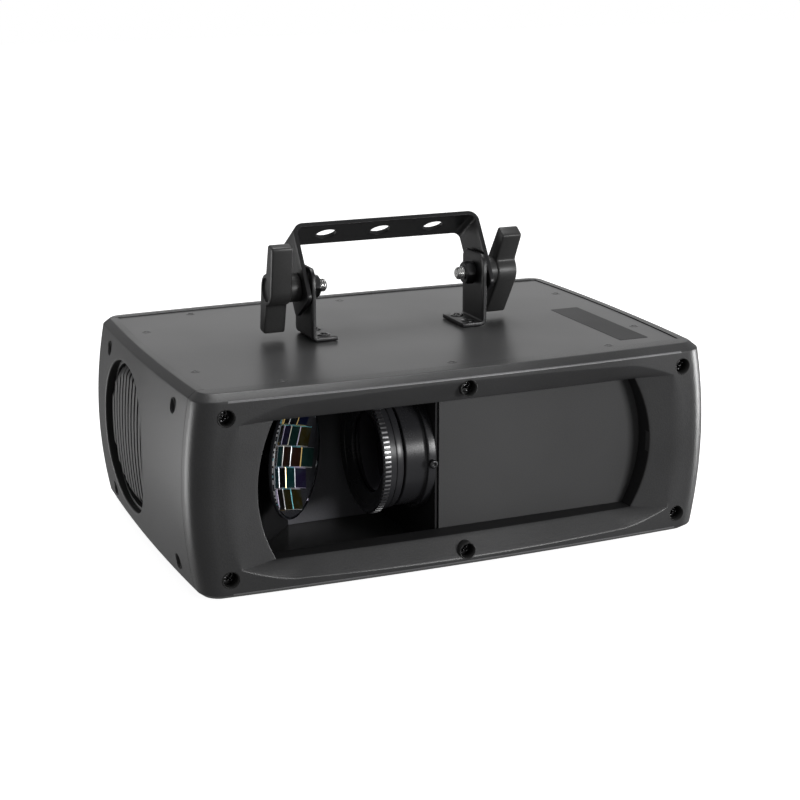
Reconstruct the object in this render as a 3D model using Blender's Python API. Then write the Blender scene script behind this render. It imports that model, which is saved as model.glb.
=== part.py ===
"""Gobo flower effect light: a wide barrel-sided case on a tilting yoke.

A lamp, a gobo wheel and a focusing lens in the right half throw a beam to the
left, on to a turning dish of small mirrors that sends it out of the window.

Units are metres.  X runs to the right, Y to the rear and Z up.  The origin is
on the floor under the middle of the case, which stands on four rubber feet.
"""
import math

import bmesh
import bpy
from mathutils import Matrix, Vector

MM = 0.001
GAP = 0.3 * MM

# How far a cutter runs past what it cuts, and a length beyond the whole object
PAST = 10.0 * MM
FAR = 300.0 * MM

# Directions
RIGHTWARD = (1.0, 0.0, 0.0)
REARWARD = (0.0, 1.0, 0.0)
FORWARD = (0.0, -1.0, 0.0)
UPWARD = (0.0, 0.0, 1.0)

# Case: a rounded box whose four sides bulge, with chamfered rims
FOOT_HEIGHT = 4.0 * MM
CASE_HEIGHT = 117.2 * MM
RIM_HALF_WIDTH = 152.0 * MM
RIM_HALF_DEPTH = 102.4 * MM
BULGE_SIDE = 3.4 * MM
BULGE_FRONT = 4.4 * MM
BARREL = 5.6 * MM
CHAMFER_WIDTH = 4.0 * MM
CHAMFER_DEPTH = 5.9 * MM
CHAMFER_HEIGHT = 3.7 * MM
CORNER_RADIUS = 11.7 * MM
RIM_CORNER_RADIUS = 8.0 * MM
WALL = 3.0 * MM
RIM_THICKNESS = 2.6 * MM
SHEET = 1.5 * MM
FOOT_X = 122.0 * MM
FOOT_Y = 74.0 * MM
FOOT_RADIUS = 9.0 * MM
FOOT_EDGE = 1.0 * MM

# Lids: sheet-metal plates set inside the rims
LID_HALF_WIDTH = 147.4 * MM
LID_FRONT = 92.1 * MM
LID_REAR = 94.8 * MM
LID_THICKNESS = 1.5 * MM
LID_DROP = 0.5 * MM
LID_CLEARANCE = 0.35 * MM
PARTING_FRONT = -92.3 * MM
PARTING_REAR = 95.1 * MM

# Front: a funnel-shaped recess around the window
RECESS_HALF_WIDTH = 134.8 * MM
RECESS_TIP_HEIGHT = 41.3 * MM
RECESS_MID_HEIGHT = 52.4 * MM
RECESS_FLAT_HALF = 105.0 * MM
RECESS_FLAT_DROP = 2.4 * MM
RECESS_SIDE_BULGE = 5.0 * MM
RECESS_TIP_CURVE = 1.3
WINDOW_HALF_WIDTH = 112.5 * MM
WINDOW_HALF_HEIGHT = 40.0 * MM
WINDOW_SIDE_BULGE = 10.5 * MM
WINDOW_Y = -102.6 * MM
WINDOW_BULGE = 2.2 * MM
TUNNEL_END_Y = -92.2 * MM
TUNNEL_WALL = 2.5 * MM
FUNNEL_LIP_OUT = 1.2 * MM
FUNNEL_LIP_IN = 3.0 * MM
FUNNEL_LIP_BACK = 2.2 * MM
FUNNEL_NECK = 1.6 * MM
FUNNEL_SPARE = 1.0 * MM
FUNNEL_AHEAD = 0.35
FUNNEL_START_Y = -140.0 * MM
FUNNEL_END_Y = -85.0 * MM
PANEL_Y = -91.5 * MM
PANEL_THICKNESS = 1.2 * MM
PANEL_LEFT_X = -8.9 * MM
PANEL_RIGHT_X = 132.0 * MM
PANEL_MARGIN = 6.0 * MM

# Front screws in round recesses
SCREW_X = 141.1 * MM
SCREW_Z = 46.0 * MM
SCREW_MID_Z = 48.5 * MM
SCREW_RECESS_RADIUS = 5.1 * MM
SCREW_RECESS_DEPTH = 8.5 * MM
SCREW_BOSS_RADIUS = 7.2 * MM
SCREW_BOSS_START = 0.9 * MM
SCREW_BOSS_DEPTH = 13.0 * MM
SCREW_HEAD_RADIUS = 4.5 * MM
SCREW_HEAD_HEIGHT = 3.0 * MM
SCREW_HEAD_EDGE = 1.0 * MM
SCREW_SEAT_GAP = 0.15 * MM
SCREW_SHANK_RADIUS = 1.7 * MM
SCREW_TIP = 5.0 * MM

# Side grilles: upright slats behind a rounded square opening
GRILLE_Y = 29.5 * MM
GRILLE_HALF = 45.3 * MM
GRILLE_POWER = 2.4
GRILLE_RECESS = 4.0 * MM
SLAT_COUNT = 12
SLAT_PITCH = 7.4 * MM
SLAT_WIDTH = 3.4 * MM
SLAT_DEPTH = 3.0 * MM
SLAT_END = 7.0 * MM
SLAT_BACK_END = 1.0 * MM
SLAT_OVERLAP = 0.5 * MM
SLAT_SEAT = 0.6 * MM
GRILLE_RING_X = 153.9 * MM
GRILLE_RING_THICKNESS = 3.0 * MM
GRILLE_RING_IN = 2.0 * MM
GRILLE_RING_OUT = 3.0 * MM
GRILLE_CUT_X = 130.0 * MM

# Optics: the lens looks left along this line
AXIS_Y = -55.7 * MM
BULKHEAD_X = -9.2 * MM
BULKHEAD_REAR_Y = 22.0 * MM
LIGHT_HOLE_RADIUS = 20.0 * MM
LENS_FLANGE_RADIUS = 36.2 * MM
LENS_FLANGE_X = -15.5 * MM
LENS_BARREL_RADIUS = 33.0 * MM
LENS_BARREL_X = -28.4 * MM
LENS_BORE_RADIUS = 30.4 * MM
FOCUS_TUBE_RADIUS = 30.1 * MM
FOCUS_FRONT_X = -43.0 * MM
FOCUS_TAIL_X = -16.0 * MM
FOCUS_BORE_RADIUS = 27.6 * MM
LOCK_TIP = 30.4 * MM
LOCK_SEAT = 36.6 * MM
LOCK_TOP = 40.0 * MM
LOCK_SHANK_RADIUS = 1.5 * MM
LOCK_HEAD_RADIUS = 2.6 * MM
LENS_GLASS_RADIUS = 25.6 * MM
LENS_GLASS_DEPTH = 7.4 * MM
LENS_GLASS_EDGE = 3.0 * MM
LENS_GLASS_BULGE = 1.6 * MM

# The focus tube's outside from front to back and its inside from back to front,
# as distance from the front and radius in millimetres: lip, grip, first ring,
# groove and second ring; then bore, lens seat, lens pocket and flared mouth
FOCUS_RINGS = ((0.0, 34.2), (0.0, 34.9), (0.6, 34.9), (0.6, 36.4), (3.8, 36.4), (3.8, 34.9),
               (8.2, 34.9), (8.2, 34.2), (8.8, 34.2), (8.8, 34.6), (12.9, 34.2))
FOCUS_MOUTH = ((16.0, 27.6), (16.0, 24.0), (10.0, 24.0), (10.0, 25.9), (4.8, 25.9),
               (2.4, 31.0), (0.8, 33.2))

# Mirror dish: a shallow bowl covered with flat mirrors, behind it a slanted wall and a motor
DISC_X = -91.0 * MM
DISC_RAISE = 3.5 * MM
DISC_RADIUS = 36.0 * MM
DISC_ANGLE = math.radians(48.0)
DISC_THICKNESS = 2.4 * MM
DISC_DISH = 7.0 * MM
FACET_ROWS = 5
FACET_HEIGHT = 12.2 * MM
FACET_WIDTH = 12.2 * MM
FACET_REACH = 35.8 * MM
FACET_TURN = math.radians(-17.0)
FACET_COLUMNS = 3
FACET_JOINT = 0.5 * MM
FACET_RISE = 0.7 * MM
LINER_CORNER = (-72.6 * MM, -9.0 * MM)
LINER_SLANT = 88.0 * MM
LINER_SETBACK = 2.0 * MM
LINER_HOLE_RADIUS = 4.0 * MM
LINER_HOLE_REACH = 60.0 * MM
HUB_RADIUS = 7.0 * MM
HUB_DEPTH = 9.0 * MM
SHAFT_CLEARANCE = 1.0 * MM
MIRROR_SHAFT_RADIUS = 1.5 * MM
MIRROR_MOTOR_RADIUS = 17.0 * MM
MOTOR_NOSE_RADIUS = 3.2 * MM
MIRROR_MOTOR_LENGTH = 20.0 * MM

# Gobo wheel, lamp and cooling
GOBO_WHEEL_X = -6.0 * MM
GOBO_WHEEL_RADIUS = 37.0 * MM
GOBO_THICKNESS = 0.8 * MM
GOBO_PITCH_RADIUS = 28.5 * MM
GOBO_COUNT = 8
GOBO_HOLE_RADIUS = 8.0 * MM
GOBO_HUB_RADIUS = 5.0 * MM
GOBO_HUB_DEPTH = 3.0 * MM
GOBO_MOTOR_HALF = 10.5 * MM
GOBO_MOTOR_CUT = 2.5 * MM
MOTOR_EDGE = 1.5 * MM
CONDENSER_X = 10.0 * MM
CONDENSER_RADIUS = 18.0 * MM
CONDENSER_EDGE = 4.0 * MM
CONDENSER_BULGE = 4.0 * MM
SLEEVE_FRONT = 6.0 * MM
SLEEVE_WALL = 2.0 * MM
LED_X = 30.0 * MM
LED_HALF = 20.0 * MM
LED_BOARD = 2.0 * MM
EMITTER_HALF = 6.0 * MM
EMITTER_RISE = 1.6 * MM
LAMP_PLATE_REACH = 24.0 * MM
LAMP_FOOT = 44.0 * MM
SINK_X = LED_X + LED_BOARD + GAP
SINK_DEPTH = 62.0 * MM
SINK_HALF_WIDTH = 29.0 * MM
SINK_HALF_HEIGHT = 32.0 * MM
SINK_FINS = 9
SINK_FIN_THICKNESS = 1.6 * MM
SINK_BASE = 6.0 * MM
FAN_HALF = 40.0 * MM
FAN_DEPTH = 25.0 * MM
FAN_OUTER_X = -153.6 * MM
FAN_BORE = 38.0 * MM
FAN_BLADES = 7
FAN_HUB_RADIUS = 16.0 * MM
FAN_HUB_FRONT = 11.5 * MM
FAN_HUB_BACK = 8.5 * MM
FAN_HUB_EDGE = 2.0 * MM
FAN_BLADE_ROOT = 2.0 * MM
FAN_BLADE_MIDDLE = 26.0 * MM
FAN_BLADE_TIP = 36.8 * MM
FAN_BLADE_THICKNESS = 1.4 * MM
FAN_CHORD = 17.2 * MM
FAN_PITCH = math.radians(62.0)
FAN_UNTWIST = math.radians(25.0)
FAN_CUP_RADIUS = 17.0 * MM
FAN_CUP_START = 9.0 * MM
FAN_CUP_END = 12.4 * MM
FAN_STRUT_START = 10.0 * MM
FAN_STRUT_END = 12.2 * MM
FAN_STRUT_HALF = 1.5 * MM
FAN_STRUT_LAP = 2.0 * MM

# Electronics: a boxed power supply on the floor and a board behind the display
SUPPLY_LEFT = -112.0 * MM
SUPPLY_RIGHT = -14.0 * MM
SUPPLY_FRONT = 26.0 * MM
SUPPLY_REAR = 78.0 * MM
SUPPLY_HEIGHT = 29.7 * MM
SUPPLY_EDGE = 1.0 * MM
BOARD_HALF_WIDTH = 42.0 * MM
BOARD_BELOW = 16.0 * MM
BOARD_ABOVE = 36.0 * MM
BOARD_THICKNESS = 1.6 * MM
BOARD_SETBACK = 8.4 * MM
CHIP_HALF = 10.0 * MM
CHIP_RISE = 3.0 * MM
POST_RADIUS = 2.2 * MM
POST_INSET = 3.0 * MM

# Rear: a recessed steel plate with sockets, display and buttons
REAR_OPENING_HALF_WIDTH = 128.0 * MM
REAR_OPENING_HALF_HEIGHT = 46.0 * MM
REAR_COLLAR = 2.5 * MM
REAR_PLATE_Y = 100.5 * MM
REAR_PLATE_HALF_WIDTH = 134.0 * MM
REAR_PLATE_HALF_HEIGHT = 52.0 * MM
REAR_FACE_Y = REAR_PLATE_Y + SHEET + GAP
SOCKET_Z = 46.0 * MM
MAINS_X = -92.0 * MM
MAINS_FLANGE = (24.0 * MM, 13.0 * MM)
MAINS_FLANGE_THICKNESS = 2.4 * MM
MAINS_BODY = (13.5 * MM, 10.0 * MM)
MAINS_BODY_DEPTH = 24.0 * MM
MAINS_HOLLOW = (12.0 * MM, 8.0 * MM)
MAINS_HOLLOW_DEPTH = 16.0 * MM
MAINS_BLADE = (1.0 * MM, 2.0 * MM)
MAINS_BLADES = ((-7.0 * MM, -2.0 * MM), (0.0, 2.0 * MM), (7.0 * MM, -2.0 * MM))
MAINS_EDGE = 1.0 * MM
FUSE_X = -52.0 * MM
FUSE_RADIUS = 6.2 * MM
FUSE_DEPTH = 20.0 * MM
FUSE_RIM_RADIUS = 8.0 * MM
FUSE_RIM = 1.6 * MM
FUSE_CAP_RADIUS = 6.4 * MM
FUSE_CAP = 5.6 * MM
FUSE_TAPER = 0.6 * MM
FUSE_SLOT_HALF = 4.0 * MM
FUSE_SLOT_WIDTH = 1.2 * MM
DMX_IN_X = -12.0 * MM
DMX_OUT_X = 24.0 * MM
XLR_RADIUS = 12.0 * MM
XLR_BORE = 9.6 * MM
XLR_BORE_DEPTH = 16.0 * MM
XLR_BODY_DEPTH = 22.0 * MM
XLR_FLANGE = (13.0 * MM, 15.5 * MM)
XLR_FLANGE_THICKNESS = 2.0 * MM
XLR_EDGE = 1.2 * MM
XLR_CORE_RADIUS = 7.4 * MM
XLR_CORE_RISE = 0.5 * MM
XLR_POLE_CIRCLE = 3.8 * MM
XLR_POLE_ANGLE = math.radians(96.0)
XLR_POLE_RADIUS = 1.3 * MM
XLR_POLE_DEPTH = 12.0 * MM
XLR_PIN_RADIUS = 1.2 * MM
XLR_PIN_SETBACK = 3.0 * MM
DISPLAY_X = 85.0 * MM
DISPLAY_Z = 84.0 * MM
DISPLAY_HALF_WIDTH = 19.7 * MM
DISPLAY_HALF_HEIGHT = 8.7 * MM
DISPLAY_DEPTH = 3.0 * MM
DISPLAY_SINK = 0.4 * MM
BUTTON_Z = 58.0 * MM
BUTTON_PITCH = 15.0 * MM
BUTTON_RADIUS = 3.4 * MM
BUTTON_STAND = 1.6 * MM
BUTTON_DEPTH = 5.0 * MM
BUTTON_EDGE = 0.5 * MM
EYE_X = -60.0 * MM
EYE_RISE = 28.0 * MM
EYE_RADIUS = 6.7 * MM
EYE_BORE = 4.5 * MM
EYE_WIDTH = 3.0 * MM
EYE_STAND = 2.2 * MM
EYE_BASE = 1.6 * MM
EYE_BASE_MARGIN = 0.8 * MM

# Brackets, yoke and clamping knobs
PIVOT_Z = FOOT_HEIGHT + 148.0 * MM
BRACKET_HALF_WIDTH = 15.2 * MM
BRACKET_OUTER_X = 57.2 * MM
BRACKET_THICKNESS = 2.4 * MM
BRACKET_FOOT_X = 41.2 * MM
BRACKET_TOP = 13.0 * MM
BRACKET_CHAMFER = 4.0 * MM
BRACKET_BEND = 2.6 * MM
BRACKET_HOLE_X = 6.5 * MM
BRACKET_HOLE_Y = 8.0 * MM
BRACKET_HOLE_RADIUS = 2.1 * MM
CORNER_SPARE = 1.0 * MM
YOKE_OUTER_X = 61.0 * MM
YOKE_THICKNESS = 2.5 * MM
YOKE_HALF_WIDTH = 13.9 * MM
YOKE_REACH = 35.3 * MM
YOKE_TAIL = 14.0 * MM
YOKE_BEND = 6.5 * MM
YOKE_CLIP = 3.0 * MM
YOKE_TILT = math.radians(34.0)
YOKE_HOLE_RADIUS = 6.5 * MM
YOKE_HOLE_PITCH = 35.5 * MM
BOLT_RADIUS = 4.0 * MM
BOLT_END_X = 43.1 * MM
BOLT_EDGE = 0.7 * MM
BOLT_GRIP = 6.0 * MM
WASHER_RADIUS = 9.0 * MM
NUT_RADIUS = 7.5 * MM
NUT_WIDTH = 6.4 * MM
KNOB_OUTER_X = 80.9 * MM
KNOB_INNER_X = 67.7 * MM
KNOB_HUB_RADIUS = 9.6 * MM
KNOB_WING_THICKNESS = 8.8 * MM
KNOB_WING_REACH = 28.7 * MM
KNOB_WING_EDGE = 2.0 * MM
KNOB_WING_ROOT = 2.5 * MM
KNOB_HUB_START = 0.25
KNOB_COLLAR_RADIUS = 8.6 * MM
KNOB_DISH_RADIUS = 7.4 * MM
KNOB_DISH_DEPTH = 1.6 * MM
KNOB_TURN_LEFT = math.radians(8.0)
KNOB_TURN_RIGHT = math.radians(34.0)

BOTTOM = FOOT_HEIGHT
TOP = FOOT_HEIGHT + CASE_HEIGHT
MIDDLE = FOOT_HEIGHT + CASE_HEIGHT / 2
LID_TOP = TOP - LID_DROP
INNER_FLOOR = BOTTOM + LID_DROP + LID_THICKNESS + GAP
INNER_CEILING = LID_TOP - LID_THICKNESS - GAP
FACE_HALF_WIDTH = RIM_HALF_WIDTH + CHAMFER_WIDTH
FACE_HALF_DEPTH = RIM_HALF_DEPTH + CHAMFER_DEPTH
SMOOTH_ANGLE = math.radians(32.0)
BEVEL_ANGLE = math.radians(40.0)
ROUND = 32
ON_AXIS = 1e-7


def clear_scene():
    for obj in list(bpy.data.objects):
        bpy.data.objects.remove(obj, do_unlink=True)


def material(name, colour, roughness, metallic=0.0):
    mat = bpy.data.materials.get(name) or bpy.data.materials.new(name)
    mat.use_nodes = True
    shader = mat.node_tree.nodes["Principled BSDF"]
    shader.inputs["Base Color"].default_value = (*colour, 1.0)
    shader.inputs["Roughness"].default_value = roughness
    shader.inputs["Metallic"].default_value = metallic
    return mat


MATERIALS = {
    "case": ((0.055, 0.056, 0.058), 0.50, 0.0),
    "sheet": ((0.075, 0.076, 0.078), 0.45, 0.1),
    "black": ((0.012, 0.012, 0.013), 0.40, 0.1),
    "inside": ((0.010, 0.010, 0.011), 0.70, 0.0),
    "rubber": ((0.015, 0.015, 0.015), 0.85, 0.0),
    "plastic": ((0.020, 0.020, 0.021), 0.45, 0.0),
    "steel": ((0.60, 0.60, 0.60), 0.30, 1.0),
    "alloy": ((0.75, 0.75, 0.76), 0.35, 1.0),
    "mirror": ((0.30, 0.34, 0.38), 0.05, 1.0),
    "glass": ((0.04, 0.05, 0.06), 0.05, 0.0),
    "board": ((0.02, 0.10, 0.05), 0.50, 0.0),
    "screen": ((0.02, 0.01, 0.01), 0.10, 0.0),
}


def add_object(name, mesh_data, mat_name, origin=(0.0, 0.0, 0.0)):
    """Link a new object whose vertices are world points, with its origin moved to origin."""
    vertices, faces = mesh_data
    base = Vector(origin)
    mesh = bpy.data.meshes.new(name)
    mesh.from_pydata([Vector(v) - base for v in vertices], [], faces)
    bm = bmesh.new()
    bm.from_mesh(mesh)
    bmesh.ops.recalc_face_normals(bm, faces=bm.faces)
    bm.to_mesh(mesh)
    bm.free()
    mesh.shade_smooth()
    mesh.set_sharp_from_angle(angle=SMOOTH_ANGLE)
    if mat_name:
        mesh.materials.append(material(mat_name, *MATERIALS[mat_name]))
    obj = bpy.data.objects.new(name, mesh)
    obj.location = base
    bpy.context.scene.collection.objects.link(obj)
    return obj


def cutter(name, mesh_data):
    obj = add_object(name, mesh_data, None)
    obj.hide_render = True
    obj.display_type = "WIRE"
    return obj


def boolean(obj, tool, operation="DIFFERENCE"):
    mod = obj.modifiers.new(tool.name, "BOOLEAN")
    mod.operation = operation
    mod.solver = "EXACT"
    mod.object = tool


def bevel(obj, width):
    mod = obj.modifiers.new("Bevel", "BEVEL")
    mod.width = width
    mod.segments = 1
    mod.limit_method = "ANGLE"
    mod.angle_limit = BEVEL_ANGLE


def loft(rings, closed=False):
    """Join equal rings of points; the end rings are capped unless the last meets the first."""
    count = len(rings[0])
    vertices = [point for ring in rings for point in ring]
    faces = []
    spans = len(rings) if closed else len(rings) - 1
    for i in range(spans):
        low = i * count
        high = ((i + 1) % len(rings)) * count
        for j in range(count):
            k = (j + 1) % count
            faces.append((low + j, low + k, high + k, high + j))
    if not closed:
        faces.append(tuple(range(count)))
        faces.append(tuple(range((len(rings) - 1) * count, len(rings) * count)))
    return vertices, faces


def prism(outline, axis, low, high):
    """Extrude a flat outline along an axis; its points are the other two coordinates in order."""
    place = {
        "x": lambda a, b, c: (c, a, b),
        "y": lambda a, b, c: (a, c, b),
        "z": lambda a, b, c: (a, b, c),
    }[axis]
    return loft([[place(a, b, level) for a, b in outline] for level in (low, high)])


def box(low, high):
    outline = [(low[0], low[1]), (high[0], low[1]), (high[0], high[1]), (low[0], high[1])]
    return prism(outline, "z", low[2], high[2])


def circle(centre, radius, count, start):
    turn = 2 * math.pi / count
    return [(centre[0] + radius * math.cos(start + turn * i),
             centre[1] + radius * math.sin(start + turn * i)) for i in range(count)]


def turned(profile, origin, direction, count=ROUND):
    """Turn a closed (distance along, radius) profile about an axis; radius 0 becomes a pole."""
    axis = Vector(direction).normalized()
    side = axis.orthogonal().normalized()
    other = axis.cross(side)
    base = Vector(origin)
    vertices = []
    rings = []
    for along, radius in profile:
        centre = base + axis * along
        if radius < ON_AXIS:
            rings.append([len(vertices)])
            vertices.append(centre)
            continue
        rings.append(list(range(len(vertices), len(vertices) + count)))
        for i in range(count):
            angle = 2 * math.pi * i / count
            vertices.append(centre + (side * math.cos(angle) + other * math.sin(angle)) * radius)
    solid = len(rings[0]) == 1 and len(rings[-1]) == 1
    faces = []
    for i in range(len(rings) - 1 if solid else len(rings)):
        low, high = rings[i], rings[(i + 1) % len(rings)]
        for j in range(count):
            k = (j + 1) % count
            if len(low) == 1:
                faces.append((low[0], high[k], high[j]))
            elif len(high) == 1:
                faces.append((low[j], low[k], high[0]))
            else:
                faces.append((low[j], low[k], high[k], high[j]))
    return vertices, faces


def joined(shapes):
    """Put several closed shapes into one mesh."""
    vertices = []
    faces = []
    for points, polygons in shapes:
        base = len(vertices)
        vertices += list(points)
        faces += [tuple(base + i for i in polygon) for polygon in polygons]
    return vertices, faces


def rod(origin, direction, start, end, radius, count=ROUND):
    return turned([(start, 0.0), (start, radius), (end, radius), (end, 0.0)], origin, direction, count)


def tube(origin, direction, start, end, outer, inner, count=ROUND):
    return turned([(start, outer), (end, outer), (end, inner), (start, inner)], origin, direction, count)


def turn_points(mesh_data, angle, axis, centre):
    """Turn mesh data about an axis through a centre."""
    vertices, faces = mesh_data
    middle = Vector(centre)
    turn = Matrix.Rotation(angle, 3, axis)
    return [turn @ (Vector(v) - middle) + middle for v in vertices], faces


def spread(count):
    return [-1 + 2 * i / (count - 1) for i in range(count)]


def bulged_outline(half_width, front, rear, radius):
    """A rounded rectangle in plan whose sides and ends bulge, anticlockwise from the right front."""
    points = []
    half_depth = (front + rear) / 2
    centre_y = (rear - front) / 2
    arc = 6

    def corner(x, y, start):
        for i in range(1, arc):
            angle = start + math.pi / 2 * i / arc
            points.append((x + radius * math.cos(angle), y + radius * math.sin(angle)))

    for t in spread(7):
        reach = t * (half_depth - radius)
        points.append((half_width + BULGE_SIDE * (1 - (reach / half_depth) ** 2), centre_y + reach))
    corner(half_width - radius, rear - radius, 0.0)
    for t in spread(11):
        reach = -t * (half_width - radius)
        points.append((reach, rear + BULGE_FRONT * (1 - (reach / half_width) ** 2)))
    corner(-(half_width - radius), rear - radius, math.pi / 2)
    for t in spread(7):
        reach = -t * (half_depth - radius)
        points.append((-half_width - BULGE_SIDE * (1 - (reach / half_depth) ** 2), centre_y + reach))
    corner(-(half_width - radius), -front + radius, math.pi)
    for t in spread(11):
        reach = t * (half_width - radius)
        points.append((reach, -front - BULGE_FRONT * (1 - (reach / half_width) ** 2)))
    corner(half_width - radius, -front + radius, 1.5 * math.pi)
    return points


def barrel_at(z):
    half = CASE_HEIGHT / 2 - CHAMFER_HEIGHT
    return BARREL * (1 - ((z - MIDDLE) / half) ** 2)


def front_face(x):
    return -FACE_HALF_DEPTH - BULGE_FRONT * (1 - (x / FACE_HALF_WIDTH) ** 2)


def case_solid(inset, levels):
    """The case's outer form, or its inside when inset: stacked plan outlines."""
    rings = []
    for z in levels:
        at_rim = inset == 0 and z in (BOTTOM, TOP)
        width = RIM_HALF_WIDTH if at_rim else FACE_HALF_WIDTH - inset + barrel_at(z)
        depth = RIM_HALF_DEPTH if at_rim else FACE_HALF_DEPTH - inset
        radius = RIM_CORNER_RADIUS if at_rim else CORNER_RADIUS - inset
        rings.append([(x, y, z) for x, y in bulged_outline(width, depth, depth, radius)])
    return loft(rings)


def case_levels():
    low = BOTTOM + CHAMFER_HEIGHT
    high = TOP - CHAMFER_HEIGHT
    return [BOTTOM] + [low + (high - low) * i / 8 for i in range(9)] + [TOP]


def inside_levels():
    return [BOTTOM + RIM_THICKNESS] + case_levels()[2:-2] + [TOP - RIM_THICKNESS]


def lid_outline(margin):
    """The lids' plan: square corners, sides parallel to the rims."""
    width = LID_HALF_WIDTH + margin
    front, rear = LID_FRONT + margin, LID_REAR + margin
    points = []
    for t in spread(9):
        points.append((width * t, -front - BULGE_FRONT * (1 - t * t)))
    for t in spread(7)[1:-1]:
        points.append((width + BULGE_SIDE * (1 - t * t), (rear - front) / 2 + t * (rear + front) / 2))
    for t in spread(9):
        points.append((-width * t, rear + BULGE_FRONT * (1 - t * t)))
    for t in spread(7)[1:-1]:
        points.append((-width - BULGE_SIDE * (1 - t * t), (rear - front) / 2 - t * (rear + front) / 2))
    return points


def case_tools():
    """Cutters that every slice of the case shares."""
    inside = cutter("cut_inside", case_solid(WALL, inside_levels()))
    lids_cut = cutter("cut_lids", prism(lid_outline(LID_CLEARANCE), "z", BOTTOM - PAST, TOP + PAST))
    return inside, lids_cut


def case_slice(name, low, high, tools):
    """A slice of the hollow case inside the box from low to high."""
    obj = add_object(name, case_solid(0.0, case_levels()), "case")
    clip = cutter("clip_" + name, box(low, high))
    boolean(obj, clip, "INTERSECT")
    for tool in tools:
        boolean(obj, tool)
    return obj


def recess_drop(x):
    """Height of the recess's upper edge above the middle, at a distance x from the centre."""
    if x <= RECESS_FLAT_HALF:
        return RECESS_MID_HEIGHT - RECESS_FLAT_DROP * (x / RECESS_FLAT_HALF) ** 2
    along = (x - RECESS_FLAT_HALF) / (RECESS_HALF_WIDTH - RECESS_FLAT_HALF)
    level = RECESS_MID_HEIGHT - RECESS_FLAT_DROP
    return level - (level - RECESS_TIP_HEIGHT) * along ** RECESS_TIP_CURVE


def frame_loop(top_point, side_point, top_count=17, side_count=9):
    """A loop round the window from one rule for its top edge and one for its right edge."""
    points = []
    for t in spread(top_count)[:-1]:
        points.append(top_point(t, 1))
    for t in spread(side_count)[:-1]:
        points.append(side_point(-t, 1))
    for t in spread(top_count)[:-1]:
        points.append(top_point(-t, -1))
    for t in spread(side_count)[:-1]:
        points.append(side_point(t, -1))
    return points


def recess_loop():
    """The recess's edge on the bulged front."""
    def top_point(t, sign):
        x = t * RECESS_HALF_WIDTH
        return Vector((x, front_face(x), MIDDLE + sign * recess_drop(abs(x))))

    def side_point(t, sign):
        x = sign * (RECESS_HALF_WIDTH + RECESS_SIDE_BULGE * (1 - t * t))
        return Vector((x, front_face(x), MIDDLE + t * RECESS_TIP_HEIGHT))

    return frame_loop(top_point, side_point)


def window_loop(margin=0.0, level=None):
    """The window's edge, grown by a margin, on its bulged face or at one level."""
    def depth(t):
        return WINDOW_Y - WINDOW_BULGE * (1 - t * t) if level is None else level

    def top_point(t, sign):
        x = t * (WINDOW_HALF_WIDTH + margin)
        return Vector((x, depth(t), MIDDLE + sign * (WINDOW_HALF_HEIGHT + margin)))

    def side_point(t, sign):
        x = sign * (WINDOW_HALF_WIDTH + margin + WINDOW_SIDE_BULGE * (1 - t * t))
        return Vector((x, depth(t), MIDDLE + t * (WINDOW_HALF_HEIGHT + margin)))

    return frame_loop(top_point, side_point)


def front_screw_places():
    """Where the six front screws sit on the bulged face."""
    corners = [(sx * SCREW_X, sz * SCREW_Z) for sz in (1, -1) for sx in (-1, 1)]
    middles = [(0.0, SCREW_MID_Z), (0.0, -SCREW_MID_Z)]
    return [(x, front_face(x), MIDDLE + z) for x, z in corners + middles]


def funnel_wall(recess):
    """The funnel's wall: a closed skin from the recess's edge back into the tunnel."""
    rim = []
    mouth = []
    for point in recess:
        outward = Vector((point.x, 0.0, (point.z - MIDDLE) * 2)).normalized()
        rim.append(point + outward * FUNNEL_LIP_OUT + Vector((0.0, FUNNEL_LIP_BACK, 0.0)))
        mouth.append(point - outward * FUNNEL_LIP_IN - Vector((0.0, FUNNEL_SPARE, 0.0)))
    neck = [p + Vector((0.0, FUNNEL_NECK, 0.0)) for p in window_loop(TUNNEL_WALL)]
    return loft([rim, neck, window_loop(TUNNEL_WALL, TUNNEL_END_Y),
                 window_loop(-FUNNEL_SPARE, TUNNEL_END_Y), window_loop(-FUNNEL_SPARE), mouth], True)


def funnel_hollow(recess):
    """What the funnel and the window take out, from well ahead of the face."""
    window = window_loop()
    ahead = [p + (p - w) * FUNNEL_AHEAD for p, w in zip(recess, window)]
    start = [Vector((p.x, FUNNEL_START_Y, p.z)) for p in ahead]
    return loft([start, ahead, window, window_loop(0.0, FUNNEL_END_Y)])


def screw_pocket(place):
    """A round recess with the screw's hole through its floor."""
    bore = SCREW_SHANK_RADIUS + GAP
    end = SCREW_BOSS_DEPTH + PAST
    profile = [(-PAST, 0.0), (-PAST, SCREW_RECESS_RADIUS), (SCREW_RECESS_DEPTH, SCREW_RECESS_RADIUS),
               (SCREW_RECESS_DEPTH, bore), (end, bore), (end, 0.0)]
    return turned(profile, place, REARWARD, 26)


def front_bezel(tools):
    """Front moulding: the case's front slice with a funnel, its tunnel and six screw bosses."""
    obj = case_slice("front_bezel", (-FAR, -FAR, -FAR), (FAR, PARTING_FRONT, FAR), tools)
    recess = recess_loop()
    boolean(obj, cutter("add_funnel", funnel_wall(recess)), "UNION")
    places = front_screw_places()
    bosses = [rod(p, REARWARD, SCREW_BOSS_START, SCREW_BOSS_DEPTH, SCREW_BOSS_RADIUS, 24) for p in places]
    boolean(obj, cutter("add_bosses", joined(bosses)), "UNION")
    boolean(obj, cutter("cut_funnel", funnel_hollow(recess)))
    boolean(obj, cutter("cut_pockets", joined([screw_pocket(p) for p in places])))


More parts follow.
